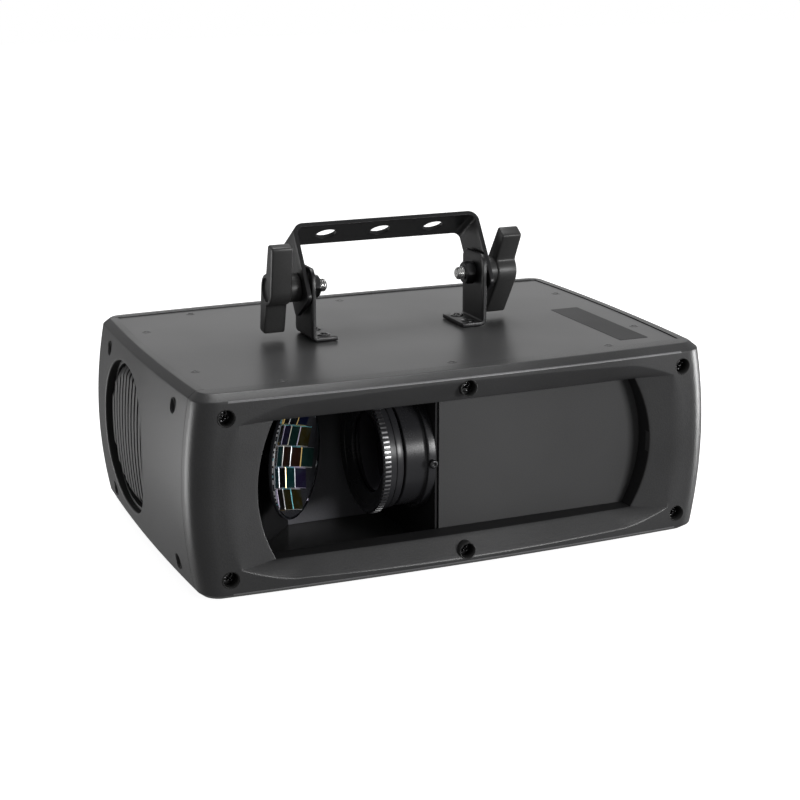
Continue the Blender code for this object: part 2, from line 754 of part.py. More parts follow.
def front_screws():
    seat = SCREW_RECESS_DEPTH - SCREW_SEAT_GAP
    crown = seat - SCREW_HEAD_HEIGHT
    end = SCREW_BOSS_DEPTH + SCREW_TIP
    profile = [(crown, 0.0), (crown, SCREW_HEAD_RADIUS - SCREW_HEAD_EDGE),
               (crown + SCREW_HEAD_EDGE, SCREW_HEAD_RADIUS), (seat, SCREW_HEAD_RADIUS),
               (seat, SCREW_SHANK_RADIUS), (end - SCREW_HEAD_EDGE, SCREW_SHANK_RADIUS), (end, 0.0)]
    for i, place in enumerate(front_screw_places()):
        add_object("front_screw_%d" % (i + 1), turned(profile, place, REARWARD, 20), "black", place)


def grille_reach(y):
    """Half height of the grille's opening at a distance y from its centre line."""
    inside = 1 - abs(y / GRILLE_HALF) ** GRILLE_POWER
    return GRILLE_HALF * max(inside, 0.0) ** (1 / GRILLE_POWER)


def grille_outline(margin, count=48):
    """A rounded square (a superellipse) in Y and Z round the grille's centre."""
    points = []
    half = GRILLE_HALF + margin
    power = 2 / GRILLE_POWER
    for i in range(count):
        angle = 2 * math.pi * i / count
        cosine, sine = math.cos(angle), math.sin(angle)
        points.append((GRILLE_Y + half * math.copysign(abs(cosine) ** power, cosine),
                       MIDDLE + half * math.copysign(abs(sine) ** power, sine)))
    return points


def side_face(y, z):
    return FACE_HALF_WIDTH + BULGE_SIDE * (1 - (y / FACE_HALF_DEPTH) ** 2) + barrel_at(z)


def side_panel(name, sign, tools):
    low = (-FAR if sign < 0 else 0.0, PARTING_FRONT + GAP, -FAR)
    high = (0.0 if sign < 0 else FAR, PARTING_REAR - GAP, FAR)
    obj = case_slice(name, low, high, tools)
    near, far = sorted((sign * GRILLE_CUT_X, sign * FAR))
    boolean(obj, cutter("cut_" + name, prism(grille_outline(0.0), "x", near, far)))


def slat(sign, y):
    """One upright slat: a bar that follows the side's bulge, with ends that bend in to the ring."""
    half = grille_reach(y) + SLAT_OVERLAP
    straight = half - SLAT_END
    seat = GRILLE_RING_X + SLAT_SEAT
    levels = [MIDDLE + t * straight for t in spread(5)]
    front = [(side_face(GRILLE_Y + y, z) - GRILLE_RECESS, z) for z in levels]
    back = [(x - SLAT_DEPTH, z) for x, z in reversed(front)]
    profile = [(seat, MIDDLE - half)] + front
    profile += [(seat, MIDDLE + half), (seat, MIDDLE + straight + SLAT_BACK_END)]
    profile += back + [(seat, MIDDLE - straight - SLAT_BACK_END)]
    edges = (GRILLE_Y + y - SLAT_WIDTH / 2, GRILLE_Y + y + SLAT_WIDTH / 2)
    return loft([[(sign * x, edge, z) for x, z in profile] for edge in edges])


def side_grille(name, sign):
    """A ring behind the panel that carries the upright slats."""
    near, far = sorted((sign * GRILLE_RING_X, sign * (GRILLE_RING_X + GRILLE_RING_THICKNESS)))
    obj = add_object(name, prism(grille_outline(GRILLE_RING_OUT), "x", near, far), "black")
    hole = prism(grille_outline(-GRILLE_RING_IN), "x", near - PAST, far + PAST)
    boolean(obj, cutter("cut_ring_" + name, hole))
    places = [(i - (SLAT_COUNT - 1) / 2) * SLAT_PITCH for i in range(SLAT_COUNT)]
    boolean(obj, cutter("add_slats_" + name, joined([slat(sign, y) for y in places])), "UNION")


def rectangle_ring(half_width, half_height, wall, low, high):
    """A rectangular tube along Y round the middle of the case."""
    def ring(extra, y):
        w, h = half_width + extra, half_height + extra
        return [(sx * w, y, MIDDLE + sz * h) for sx, sz in ((-1, -1), (1, -1), (1, 1), (-1, 1))]

    return loft([ring(wall, low), ring(wall, high), ring(0.0, high), ring(0.0, low)], True)


def block(x, z, half_width, half_height, near, far):
    """A box round a point in X and Z, between two depths."""
    return box((x - half_width, near, z - half_height), (x + half_width, far, z + half_height))


def rear_frame(lids_cut):
    """The case's rear slice, whose opening has a collar that reaches in to the rear plate."""
    inside = cutter("cut_inside_rear", case_solid(WALL, inside_levels()))
    width, height = REAR_OPENING_HALF_WIDTH, REAR_OPENING_HALF_HEIGHT
    collar = rectangle_ring(width, height, REAR_COLLAR, REAR_FACE_Y, REAR_FACE_Y + 3 * PAST)
    boolean(inside, cutter("keep_collar", collar))
    obj = case_slice("rear_frame", (-FAR, PARTING_REAR, -FAR), (FAR, FAR, FAR), (inside, lids_cut))
    boolean(obj, cutter("cut_rear_opening", block(0.0, MIDDLE, width, height, PARTING_REAR, FAR)))


def lids():
    for name, low in (("top_plate", LID_TOP - LID_THICKNESS), ("base_plate", BOTTOM + LID_DROP)):
        add_object(name, prism(lid_outline(0.0), "z", low, low + LID_THICKNESS), "sheet")


def rubber_feet():
    top = BOTTOM + LID_DROP - GAP
    profile = [(0.0, 0.0), (0.0, FOOT_RADIUS - FOOT_EDGE), (FOOT_EDGE, FOOT_RADIUS), (top, FOOT_RADIUS),
               (top, 0.0)]
    for i, (sx, sy) in enumerate([(-1, -1), (1, -1), (1, 1), (-1, 1)]):
        place = (sx * FOOT_X, sy * FOOT_Y, 0.0)
        add_object("rubber_foot_%d" % (i + 1), turned(profile, place, UPWARD, 24), "rubber")


def blank_panel():
    """The flat panel behind the right part of the window."""
    low = (PANEL_LEFT_X, PANEL_Y, BOTTOM + PANEL_MARGIN)
    high = (PANEL_RIGHT_X, PANEL_Y + PANEL_THICKNESS, TOP - PANEL_MARGIN)
    add_object("blank_panel", box(low, high), "case")


def chamber_liner():
    """One bent black sheet: back wall, slanted motor wall and left wall of the chamber."""
    corner = Vector(LINER_CORNER)
    turn = corner - Vector((math.cos(DISC_ANGLE), math.sin(DISC_ANGLE))) * LINER_SLANT
    start = Vector((BULKHEAD_X - SHEET - GAP, corner.y))
    end = Vector((turn.x, PARTING_FRONT + LINER_SETBACK))
    mitres = (math.tan(DISC_ANGLE / 2), math.tan((math.pi / 2 - DISC_ANGLE) / 2))
    shifts = [(0.0, 1.0), (-mitres[0], 1.0), (-1.0, mitres[1]), (-1.0, 0.0)]
    path = [start, corner, turn, end]
    outline = path + [p + Vector(s) * SHEET for p, s in zip(reversed(path), reversed(shifts))]
    obj = add_object("chamber_liner", prism(outline, "z", INNER_FLOOR, INNER_CEILING), "inside")
    shaft = rod(disc_centre(), disc_normal(), -LINER_HOLE_REACH, 0.0, LINER_HOLE_RADIUS, 24)
    boolean(obj, cutter("cut_liner_shaft", shaft))


def disc_centre():
    return Vector((DISC_X, AXIS_Y, MIDDLE + DISC_RAISE))


def disc_normal():
    return Vector((math.sin(DISC_ANGLE), -math.cos(DISC_ANGLE), 0.0))


def facet_places():
    """Centres of the brick-laid mirrors that fit on the dish, across it and up it."""
    places = []
    for row in range(FACET_ROWS):
        level = (row - (FACET_ROWS - 1) / 2) * FACET_HEIGHT
        shift = FACET_WIDTH / 2 * (row % 2)
        for column in range(-FACET_COLUMNS, FACET_COLUMNS + 1):
            along = column * FACET_WIDTH + shift
            if math.hypot(abs(along) + FACET_WIDTH / 2, abs(level) + FACET_HEIGHT / 2) <= FACET_REACH:
                places.append((along, level))
    return places


def facet(along, level):
    """One flat square mirror, raised on the dish's slope at its own centre."""
    centre, normal = disc_centre(), disc_normal()
    turn = Matrix.Rotation(FACET_TURN, 3, normal)
    up = turn @ Vector(UPWARD)
    across = up.cross(normal)
    lift = DISC_DISH * (math.hypot(along, level) / DISC_RADIUS) ** 2 + DISC_THICKNESS / 2
    lean = 2 * DISC_DISH / DISC_RADIUS ** 2
    rings = []
    for rise in (-DISC_THICKNESS, FACET_RISE):
        ring = []
        for a, b in ((-1, -1), (1, -1), (1, 1), (-1, 1)):
            da = a * (FACET_WIDTH - FACET_JOINT) / 2
            db = b * (FACET_HEIGHT - FACET_JOINT) / 2
            height = lift + lean * (along * da + level * db) + rise
            ring.append(centre + across * (along + da) + up * (level + db) + normal * height)
        rings.append(ring)
    return loft(rings)


def mirror_disc():
    """A dish turned about its own axis, with its mirrors joined on."""
    back = []
    front = []
    for i in range(6):
        share = i / 5
        rise = DISC_DISH * share ** 2
        front.append((rise + DISC_THICKNESS / 2, DISC_RADIUS * share))
        back.append((rise - DISC_THICKNESS / 2, DISC_RADIUS * share))
    dish = turned(front + list(reversed(back)), disc_centre(), disc_normal(), 40)
    obj = add_object("mirror_disc", dish, "mirror", disc_centre())
    boolean(obj, cutter("add_tiles", joined([facet(*place) for place in facet_places()])), "UNION")


def mirror_drive():
    """Hub and shaft turn with the disc; the motor is fixed behind the slanted wall."""
    centre, normal = disc_centre(), disc_normal()
    wall = (centre - Vector((*LINER_CORNER, MIDDLE))).dot(normal)
    start = -DISC_THICKNESS / 2 - GAP
    tip = -wall + SHAFT_CLEARANCE
    profile = [(start, 0.0), (start, HUB_RADIUS), (-HUB_DEPTH, HUB_RADIUS),
               (-HUB_DEPTH, MIRROR_SHAFT_RADIUS), (tip, MIRROR_SHAFT_RADIUS), (tip, 0.0)]
    add_object("mirror_hub", turned(profile, centre, normal, 24), "plastic", centre)
    nose = tip - GAP
    face = -wall - SHEET - GAP
    back = face - MIRROR_MOTOR_LENGTH
    profile = [(nose, 0.0), (nose, MOTOR_NOSE_RADIUS), (face, MOTOR_NOSE_RADIUS), (face, MIRROR_MOTOR_RADIUS),
               (back, MIRROR_MOTOR_RADIUS), (back, 0.0)]
    add_object("mirror_motor", turned(profile, centre, normal, 28), "steel")


def lens_bulkhead():
    low = (BULKHEAD_X - SHEET, PANEL_Y + PANEL_THICKNESS + GAP, INNER_FLOOR)
    high = (BULKHEAD_X, BULKHEAD_REAR_Y, INNER_CEILING)
    obj = add_object("lens_bulkhead", box(low, high), "inside")
    hole = rod((BULKHEAD_X, AXIS_Y, MIDDLE), RIGHTWARD, -2 * PAST, 2 * PAST, LIGHT_HOLE_RADIUS)
    boolean(obj, cutter("cut_bulkhead", hole))


def lens_holder():
    """Flange on the bulkhead with the barrel that the focus tube slides in."""
    back = BULKHEAD_X - SHEET - GAP
    profile = [(back, LENS_FLANGE_RADIUS), (LENS_FLANGE_X, LENS_FLANGE_RADIUS),
               (LENS_FLANGE_X, LENS_BARREL_RADIUS), (LENS_BARREL_X, LENS_BARREL_RADIUS),
               (LENS_BARREL_X, LENS_BORE_RADIUS), (back, LENS_BORE_RADIUS)]
    obj = add_object("lens_holder", turned(profile, (0.0, AXIS_Y, MIDDLE), RIGHTWARD, 48), "plastic")
    place = ((back + LENS_FLANGE_X) / 2, AXIS_Y, MIDDLE)
    hole = rod(place, FORWARD, LOCK_TIP - PAST, LOCK_TOP + PAST, LOCK_SHANK_RADIUS + GAP, 16)
    boolean(obj, cutter("cut_lock_hole", hole))
    profile = [(LOCK_TIP, 0.0), (LOCK_TIP, LOCK_SHANK_RADIUS), (LOCK_SEAT, LOCK_SHANK_RADIUS),
               (LOCK_SEAT, LOCK_HEAD_RADIUS), (LOCK_TOP, LOCK_HEAD_RADIUS), (LOCK_TOP, 0.0)]
    add_object("focus_lock_screw", turned(profile, place, FORWARD, 16), "steel", place)


def focus_tube():
    """Sliding tube: conical mouth, raised grip, two plain rings and the tail in the holder."""
    place = (FOCUS_FRONT_X, AXIS_Y, MIDDLE)
    tail = FOCUS_TAIL_X - FOCUS_FRONT_X
    profile = [(along * MM, radius * MM) for along, radius in FOCUS_RINGS]
    profile += [(profile[-1][0], FOCUS_TUBE_RADIUS), (tail, FOCUS_TUBE_RADIUS), (tail, FOCUS_BORE_RADIUS)]
    profile += [(along * MM, radius * MM) for along, radius in FOCUS_MOUTH]
    add_object("focus_tube", turned(profile, place, RIGHTWARD, 48), "plastic", place)


def glass_lens(name, place, radius, thickness, bulge):
    """A double-bulged lens with a straight edge."""
    front = [(-thickness / 2 - bulge * (1 - (i / 4) ** 2), radius * i / 4) for i in range(5)]
    back = [(thickness / 2 + bulge * (1 - (i / 4) ** 2), radius * i / 4) for i in reversed(range(5))]
    add_object(name, turned(front + back, place, RIGHTWARD, 32), "glass", place)


def lenses():
    place = (FOCUS_FRONT_X + LENS_GLASS_DEPTH, AXIS_Y, MIDDLE)
    glass_lens("objective_lens", place, LENS_GLASS_RADIUS, LENS_GLASS_EDGE, LENS_GLASS_BULGE)
    place = (CONDENSER_X, AXIS_Y, MIDDLE)
    glass_lens("condenser_lens", place, CONDENSER_RADIUS, CONDENSER_EDGE, CONDENSER_BULGE)


def gobo_centre():
    return (GOBO_WHEEL_X, AXIS_Y + GOBO_PITCH_RADIUS, MIDDLE)


def gobo_wheel():
    """A disc with a ring of round pattern openings and a hub."""
    centre = gobo_centre()
    half = GOBO_THICKNESS / 2
    profile = [(-half, 0.0), (-half, GOBO_WHEEL_RADIUS), (half, GOBO_WHEEL_RADIUS), (half, GOBO_HUB_RADIUS),
               (GOBO_HUB_DEPTH, GOBO_HUB_RADIUS), (GOBO_HUB_DEPTH, 0.0)]
    obj = add_object("gobo_wheel", turned(profile, centre, RIGHTWARD, 48), "steel", centre)
    holes = []
    for i in range(GOBO_COUNT):
        angle = 2 * math.pi * i / GOBO_COUNT
        place = (centre[0], centre[1] - GOBO_PITCH_RADIUS * math.cos(angle),
                 centre[2] + GOBO_PITCH_RADIUS * math.sin(angle))
        holes.append(rod(place, RIGHTWARD, -PAST, PAST, GOBO_HOLE_RADIUS, 16))
    boolean(obj, cutter("cut_gobos", joined(holes)))


def gobo_motor():
    centre = gobo_centre()
    low = (centre[0] + GOBO_HUB_DEPTH + GAP, centre[1] - GOBO_MOTOR_HALF + GOBO_MOTOR_CUT,
           centre[2] - GOBO_MOTOR_HALF)
    high = (LED_X - 2 * GAP - SHEET, centre[1] + GOBO_MOTOR_HALF, centre[2] + GOBO_MOTOR_HALF)
    bevel(add_object("gobo_motor", box(low, high), "steel"), MOTOR_EDGE)


def led_module():
    """A square board with its emitter on the side of the lens."""
    low = (LED_X, AXIS_Y - LED_HALF, MIDDLE - LED_HALF)
    high = (LED_X + LED_BOARD, AXIS_Y + LED_HALF, MIDDLE + LED_HALF)
    board = add_object("led_module", box(low, high), "board")
    emitter = box((LED_X - EMITTER_RISE, AXIS_Y - EMITTER_HALF, MIDDLE - EMITTER_HALF),
                  (LED_X + LED_BOARD / 2, AXIS_Y + EMITTER_HALF, MIDDLE + EMITTER_HALF))
    boolean(board, cutter("add_emitter", emitter), "UNION")


def heat_sink():
    """A base with upright fins, drawn as one comb-shaped outline."""
    right = SINK_X + SINK_DEPTH
    comb = SINK_X + SINK_BASE
    outline = [(SINK_X, AXIS_Y + SINK_HALF_WIDTH), (SINK_X, AXIS_Y - SINK_HALF_WIDTH)]
    pitch = (2 * SINK_HALF_WIDTH - SINK_FIN_THICKNESS) / (SINK_FINS - 1)
    for i in range(SINK_FINS):
        near = AXIS_Y - SINK_HALF_WIDTH + i * pitch
        far = near + SINK_FIN_THICKNESS
        if i > 0:
            outline.append((comb, near))
        outline += [(right, near), (right, far)]
        if i < SINK_FINS - 1:
            outline.append((comb, far))
    comb_shape = prism(outline, "z", MIDDLE - SINK_HALF_HEIGHT, MIDDLE + SINK_HALF_HEIGHT)
    add_object("heat_sink", comb_shape, "alloy")


def lamp_bracket():
    """An upright plate with a foot, and the sleeve that holds the condenser."""
    left, right = LED_X - GAP - SHEET, LED_X - GAP
    toe = left + LAMP_FOOT
    top = MIDDLE + LAMP_PLATE_REACH
    floor = INNER_FLOOR
    outline = [(left, floor), (toe, floor), (toe, floor + SHEET), (right, floor + SHEET), (right, top),
               (left, top)]
    rings = [[(x, y, z) for x, z in outline] for y in (AXIS_Y - LAMP_PLATE_REACH, AXIS_Y + LAMP_FOOT)]
    obj = add_object("lamp_bracket", loft(rings), "alloy")
    axis = (0.0, AXIS_Y, MIDDLE)
    sleeve = rod(axis, RIGHTWARD, CONDENSER_X - SLEEVE_FRONT, right - SHEET / 3,
                 CONDENSER_RADIUS + SLEEVE_WALL)
    boolean(obj, cutter("add_condenser_sleeve", sleeve), "UNION")
    bore = rod(axis, RIGHTWARD, CONDENSER_X - 2 * PAST, LED_X + PAST, CONDENSER_RADIUS + GAP)
    boolean(obj, cutter("cut_condenser_bore", bore))


def fan_centre():
    return (FAN_OUTER_X + FAN_DEPTH / 2, GRILLE_Y, MIDDLE)


def fan_frame():
    """A square frame with a round bore and a motor cup on four struts."""
    centre = fan_centre()
    low = (FAN_OUTER_X, GRILLE_Y - FAN_HALF, MIDDLE - FAN_HALF)
    high = (FAN_OUTER_X + FAN_DEPTH, GRILLE_Y + FAN_HALF, MIDDLE + FAN_HALF)
    obj = add_object("fan_frame", box(low, high), "plastic")
    boolean(obj, cutter("cut_fan_bore", rod(centre, RIGHTWARD, -2 * PAST, 2 * PAST, FAN_BORE, 40)))
    cup = rod(centre, RIGHTWARD, FAN_CUP_START, FAN_CUP_END, FAN_CUP_RADIUS, 24)
    boolean(obj, cutter("add_fan_cup", cup), "UNION")
    x, y, z = centre
    strut = box((x + FAN_STRUT_START, y - FAN_STRUT_HALF, z + FAN_CUP_RADIUS - FAN_STRUT_LAP),
                (x + FAN_STRUT_END, y + FAN_STRUT_HALF, z + FAN_BORE + FAN_STRUT_LAP / 2))
    struts = [turn_points(strut, math.pi / 2 * i + math.pi / 4, "X", centre) for i in range(4)]
    boolean(obj, cutter("add_fan_struts", joined(struts)), "UNION")


def fan_blade():
    """One blade: a flat strip that untwists from the hub to its tip."""
    x, y, z = fan_centre()
    rings = []
    for radius in (FAN_HUB_RADIUS - FAN_BLADE_ROOT, FAN_BLADE_MIDDLE, FAN_BLADE_TIP):
        share = (radius - FAN_HUB_RADIUS) / (FAN_BLADE_TIP - FAN_HUB_RADIUS)
        twist = FAN_PITCH - FAN_UNTWIST * share
        run = Vector((math.cos(twist), math.sin(twist)))
        face = Vector((-math.sin(twist), math.cos(twist)))
        ring = []
        for a, b in ((-1, -1), (1, -1), (1, 1), (-1, 1)):
            flat = run * a * FAN_CHORD / 2 + face * b * FAN_BLADE_THICKNESS / 2
            ring.append((x + flat.x, y + flat.y, z + radius))
        rings.append(ring)
    return loft(rings)


def fan_rotor():
    """The fan's hub with its blades."""
    centre = fan_centre()
    low, high, edge = -FAN_HUB_FRONT, FAN_HUB_BACK, FAN_HUB_EDGE
    profile = [(low, 0.0), (low, FAN_HUB_RADIUS - edge), (low + edge, FAN_HUB_RADIUS), (high, FAN_HUB_RADIUS),
               (high, 0.0)]
    rotor = add_object("fan_rotor", turned(profile, centre, RIGHTWARD, 28), "black", centre)
    blades = [turn_points(fan_blade(), 2 * math.pi * i / FAN_BLADES, "X", centre) for i in range(FAN_BLADES)]
    boolean(rotor, cutter("add_fan_blades", joined(blades)), "UNION")


def power_supply():
    low = (SUPPLY_LEFT, SUPPLY_FRONT, INNER_FLOOR)
    high = (SUPPLY_RIGHT, SUPPLY_REAR, INNER_FLOOR + SUPPLY_HEIGHT)
    bevel(add_object("power_supply", box(low, high), "alloy"), SUPPLY_EDGE)


def control_board():
    """The board behind the display, with its main chip and four posts to the rear plate."""
    face = REAR_PLATE_Y - BOARD_SETBACK
    low, high = MIDDLE - BOARD_BELOW, MIDDLE + BOARD_ABOVE
    board = add_object("control_board", box((DISPLAY_X - BOARD_HALF_WIDTH, face - BOARD_THICKNESS, low),
                                            (DISPLAY_X + BOARD_HALF_WIDTH, face, high)), "board")
    back = face - BOARD_THICKNESS
    chip = block(DISPLAY_X, MIDDLE, CHIP_HALF, CHIP_HALF, back - CHIP_RISE, face - BOARD_THICKNESS / 2)
    boolean(board, cutter("add_chip", chip), "UNION")
    posts = []
    for sign in (-1, 1):
        for z in (low + POST_INSET, high - POST_INSET):
            place = (DISPLAY_X + sign * (BOARD_HALF_WIDTH - POST_INSET), REAR_PLATE_Y, z)
            posts.append(rod(place, REARWARD, -BOARD_SETBACK - BOARD_THICKNESS / 2, -GAP, POST_RADIUS, 12))
    boolean(board, cutter("add_posts", joined(posts)), "UNION")


def button_places():
    return [(DISPLAY_X + (i - 1.5) * BUTTON_PITCH, REAR_PLATE_Y, BUTTON_Z) for i in range(4)]


def rear_plate():
    """The steel plate, cut out for its inlet, fuse, sockets, display and buttons."""
    y = REAR_PLATE_Y
    near, far = y - PAST, y + PAST
    plate = block(0.0, MIDDLE, REAR_PLATE_HALF_WIDTH, REAR_PLATE_HALF_HEIGHT, y, y + SHEET)
    obj = add_object("rear_plate", plate, "sheet")
    holes = [block(MAINS_X, SOCKET_Z, MAINS_BODY[0] + GAP, MAINS_BODY[1] + GAP, near, far),
             block(DISPLAY_X, DISPLAY_Z, DISPLAY_HALF_WIDTH + GAP, DISPLAY_HALF_HEIGHT + GAP, near, far),
             rod((FUSE_X, y, SOCKET_Z), REARWARD, -PAST, PAST, FUSE_RADIUS + GAP, 24)]
    holes += [rod((x, y, SOCKET_Z), REARWARD, -PAST, PAST, XLR_RADIUS + GAP) for x in (DMX_IN_X, DMX_OUT_X)]
    holes += [rod(place, REARWARD, -PAST, PAST, BUTTON_RADIUS + GAP, 20) for place in button_places()]
    boolean(obj, cutter("cut_rear_holes", joined(holes)))


def mains_inlet():
    """A three-pin appliance inlet: flange, body and a deep hollow with blades."""
    face = REAR_FACE_Y
    flange = block(MAINS_X, SOCKET_Z, *MAINS_FLANGE, face, face + MAINS_FLANGE_THICKNESS)
    obj = add_object("mains_inlet", flange, "plastic")
    bevel(obj, MAINS_EDGE)
    body = block(MAINS_X, SOCKET_Z, *MAINS_BODY, face - MAINS_BODY_DEPTH, face + MAINS_EDGE)
    boolean(obj, cutter("add_mains_body", body), "UNION")
    hollow = block(MAINS_X, SOCKET_Z, *MAINS_HOLLOW, face - MAINS_HOLLOW_DEPTH, face + PAST)
    boolean(obj, cutter("cut_mains_hollow", hollow))
    for i, (dx, dz) in enumerate(MAINS_BLADES):
        blade = block(MAINS_X + dx, SOCKET_Z + dz, *MAINS_BLADE, face - MAINS_HOLLOW_DEPTH - MAINS_EDGE,
                      face - MAINS_EDGE)
        boolean(obj, cutter("add_mains_blade_%d" % i, blade), "UNION")


def fuse_cap():
    """A round cap with a coin slot, on a body that reaches in behind the plate."""
    place = (FUSE_X, REAR_FACE_Y, SOCKET_Z)
    profile = [(-FUSE_DEPTH, 0.0), (-FUSE_DEPTH, FUSE_RADIUS), (0.0, FUSE_RADIUS), (0.0, FUSE_RIM_RADIUS),
               (FUSE_RIM, FUSE_RIM_RADIUS), (FUSE_RIM, FUSE_CAP_RADIUS),
               (FUSE_CAP, FUSE_CAP_RADIUS - FUSE_TAPER), (FUSE_CAP, 0.0)]
    obj = add_object("fuse_cap", turned(profile, place, REARWARD, 24), "plastic", place)
    top = REAR_FACE_Y + FUSE_CAP
    slot = block(FUSE_X, SOCKET_Z, FUSE_SLOT_HALF, FUSE_SLOT_WIDTH / 2, top - FUSE_SLOT_WIDTH, top + PAST)
    boolean(obj, cutter("cut_fuse_slot", slot))


def dmx_socket(name, x, is_output):
    """A round three-pole panel socket; the input has pins, the output a block with three holes."""
    face = REAR_FACE_Y
    place = (x, face, SOCKET_Z)
    obj = add_object(name, block(x, SOCKET_Z, *XLR_FLANGE, face, face + XLR_FLANGE_THICKNESS), "black")
    bevel(obj, XLR_EDGE)
    body = rod(place, REARWARD, -XLR_BODY_DEPTH, XLR_FLANGE_THICKNESS / 2, XLR_RADIUS)
    boolean(obj, cutter("add_body_" + name, body), "UNION")
    boolean(obj, cutter("cut_bore_" + name, rod(place, REARWARD, -XLR_BORE_DEPTH, 2 * PAST, XLR_BORE)))
    root = -XLR_BORE_DEPTH - XLR_EDGE
    if is_output:
        core = rod(place, REARWARD, root, XLR_CORE_RISE, XLR_CORE_RADIUS, 24)
        boolean(obj, cutter("add_core_" + name, core), "UNION")
    poles = []
    for i in range(3):
        angle = math.pi / 2 + i * XLR_POLE_ANGLE
        pole = (x + XLR_POLE_CIRCLE * math.cos(angle), face, SOCKET_Z + XLR_POLE_CIRCLE * math.sin(angle))
        if is_output:
            poles.append(rod(pole, REARWARD, -XLR_POLE_DEPTH, PAST, XLR_POLE_RADIUS, 10))
        else:
            poles.append(rod(pole, REARWARD, root, -XLR_PIN_SETBACK, XLR_PIN_RADIUS, 10))
    kind = "DIFFERENCE" if is_output else "UNION"
    boolean(obj, cutter("poles_" + name, joined(poles)), kind)


def display():
    y = REAR_PLATE_Y
    window = block(DISPLAY_X, DISPLAY_Z, DISPLAY_HALF_WIDTH, DISPLAY_HALF_HEIGHT, y - DISPLAY_DEPTH,
                   y + SHEET - DISPLAY_SINK)
    add_object("display_window", window, "screen")


def menu_buttons():
    """Four round buttons that stand out through the rear plate."""
    top = SHEET + BUTTON_STAND
    profile = [(-BUTTON_DEPTH, 0.0), (-BUTTON_DEPTH, BUTTON_RADIUS), (top - BUTTON_EDGE, BUTTON_RADIUS),
               (top, BUTTON_RADIUS - BUTTON_EDGE), (top, 0.0)]
    for i, place in enumerate(button_places()):
        add_object("menu_button_%d" % (i + 1), turned(profile, place, REARWARD, 20), "plastic", place)


def safety_eye():
    """A steel loop for a safety wire, on the rear plate near the top."""
    place = (EYE_X, REAR_FACE_Y, MIDDLE + EYE_RISE)
    base = rod(place, REARWARD, 0.0, EYE_BASE, EYE_RADIUS + EYE_BASE_MARGIN, 24)
    obj = add_object("safety_eye", base, "steel")
    centre = (EYE_X - EYE_WIDTH / 2, REAR_FACE_Y + EYE_STAND, place[2])
    loop = cutter("add_eye_loop", tube(centre, RIGHTWARD, 0.0, EYE_WIDTH, EYE_RADIUS, EYE_BORE, 28))
    keep = block(EYE_X, place[2], PAST, PAST, REAR_FACE_Y, REAR_FACE_Y + 2 * PAST)
    boolean(loop, cutter("clip_eye", keep), "INTERSECT")
    boolean(obj, loop, "UNION")


def bracket_outline():
    """The bracket's side view: a foot that bends up into a tab, from its foot's end."""
    floor = LID_TOP + GAP
    out, thick, bend = BRACKET_OUTER_X, BRACKET_THICKNESS, BRACKET_BEND
    top = PIVOT_Z + BRACKET_TOP
    points = [(BRACKET_FOOT_X, floor), (out - bend, floor)]
    for i in range(1, 4):
        angle = math.pi / 2 * i / 4
        points.append((out - bend + bend * math.sin(angle), floor + bend - bend * math.cos(angle)))
    return points + [(out, floor + bend), (out, top), (out - thick, top), (out - thick, floor + thick),
                     (BRACKET_FOOT_X, floor + thick)]


def bracket(name, sign):
    """An angle bracket: foot screwed to the top plate, upright tab that holds the pivot bolt."""
    half, top = BRACKET_HALF_WIDTH, PIVOT_Z + BRACKET_TOP
    rings = [[(sign * x, y, z) for x, z in bracket_outline()] for y in (-half, half)]
    obj = add_object(name, loft(rings), "black")
    place = (sign * BRACKET_OUTER_X, 0.0, PIVOT_Z)
    cuts = [rod(place, RIGHTWARD, -PAST, PAST, BOLT_RADIUS + GAP, 24)]
    near, far = sorted((sign * (BRACKET_OUTER_X - PAST), sign * (BRACKET_OUTER_X + PAST)))
    over, under = CORNER_SPARE, BRACKET_CHAMFER + CORNER_SPARE
    for side in (-1, 1):
        corner = [(side * (half + over), top + over), (side * (half - under), top + over),
                  (side * (half + over), top - under)]
        cuts.append(prism(corner, "x", near, far))
        hole = (sign * (BRACKET_FOOT_X + BRACKET_HOLE_X), side * BRACKET_HOLE_Y, LID_TOP)
        cuts.append(rod(hole, UPWARD, -PAST, PAST, BRACKET_HOLE_RADIUS, 16))
    boolean(obj, cutter("cut_" + name, joined(cuts)))


def yoke_point(x, along, across):
    """A point of the tilted yoke: along its legs and across its width."""
    y = along * math.sin(YOKE_TILT) + across * math.cos(YOKE_TILT)
    z = along * math.cos(YOKE_TILT) - across * math.sin(YOKE_TILT)
    return (x, y, PIVOT_Z + z)


def yoke_path(depth):
    """The bent bar's run from leg end to leg end, at a depth under its outer face."""
    out, reach, bend = YOKE_OUTER_X, YOKE_REACH, YOKE_BEND
    radius = bend - depth
    half = [(out - depth, -YOKE_TAIL)]
    for i in range(7):
        angle = math.pi / 2 * i / 6
        half.append((out - bend + radius * math.cos(angle), reach - bend + radius * math.sin(angle)))
    return half + [(-x, along) for x, along in reversed(half)]


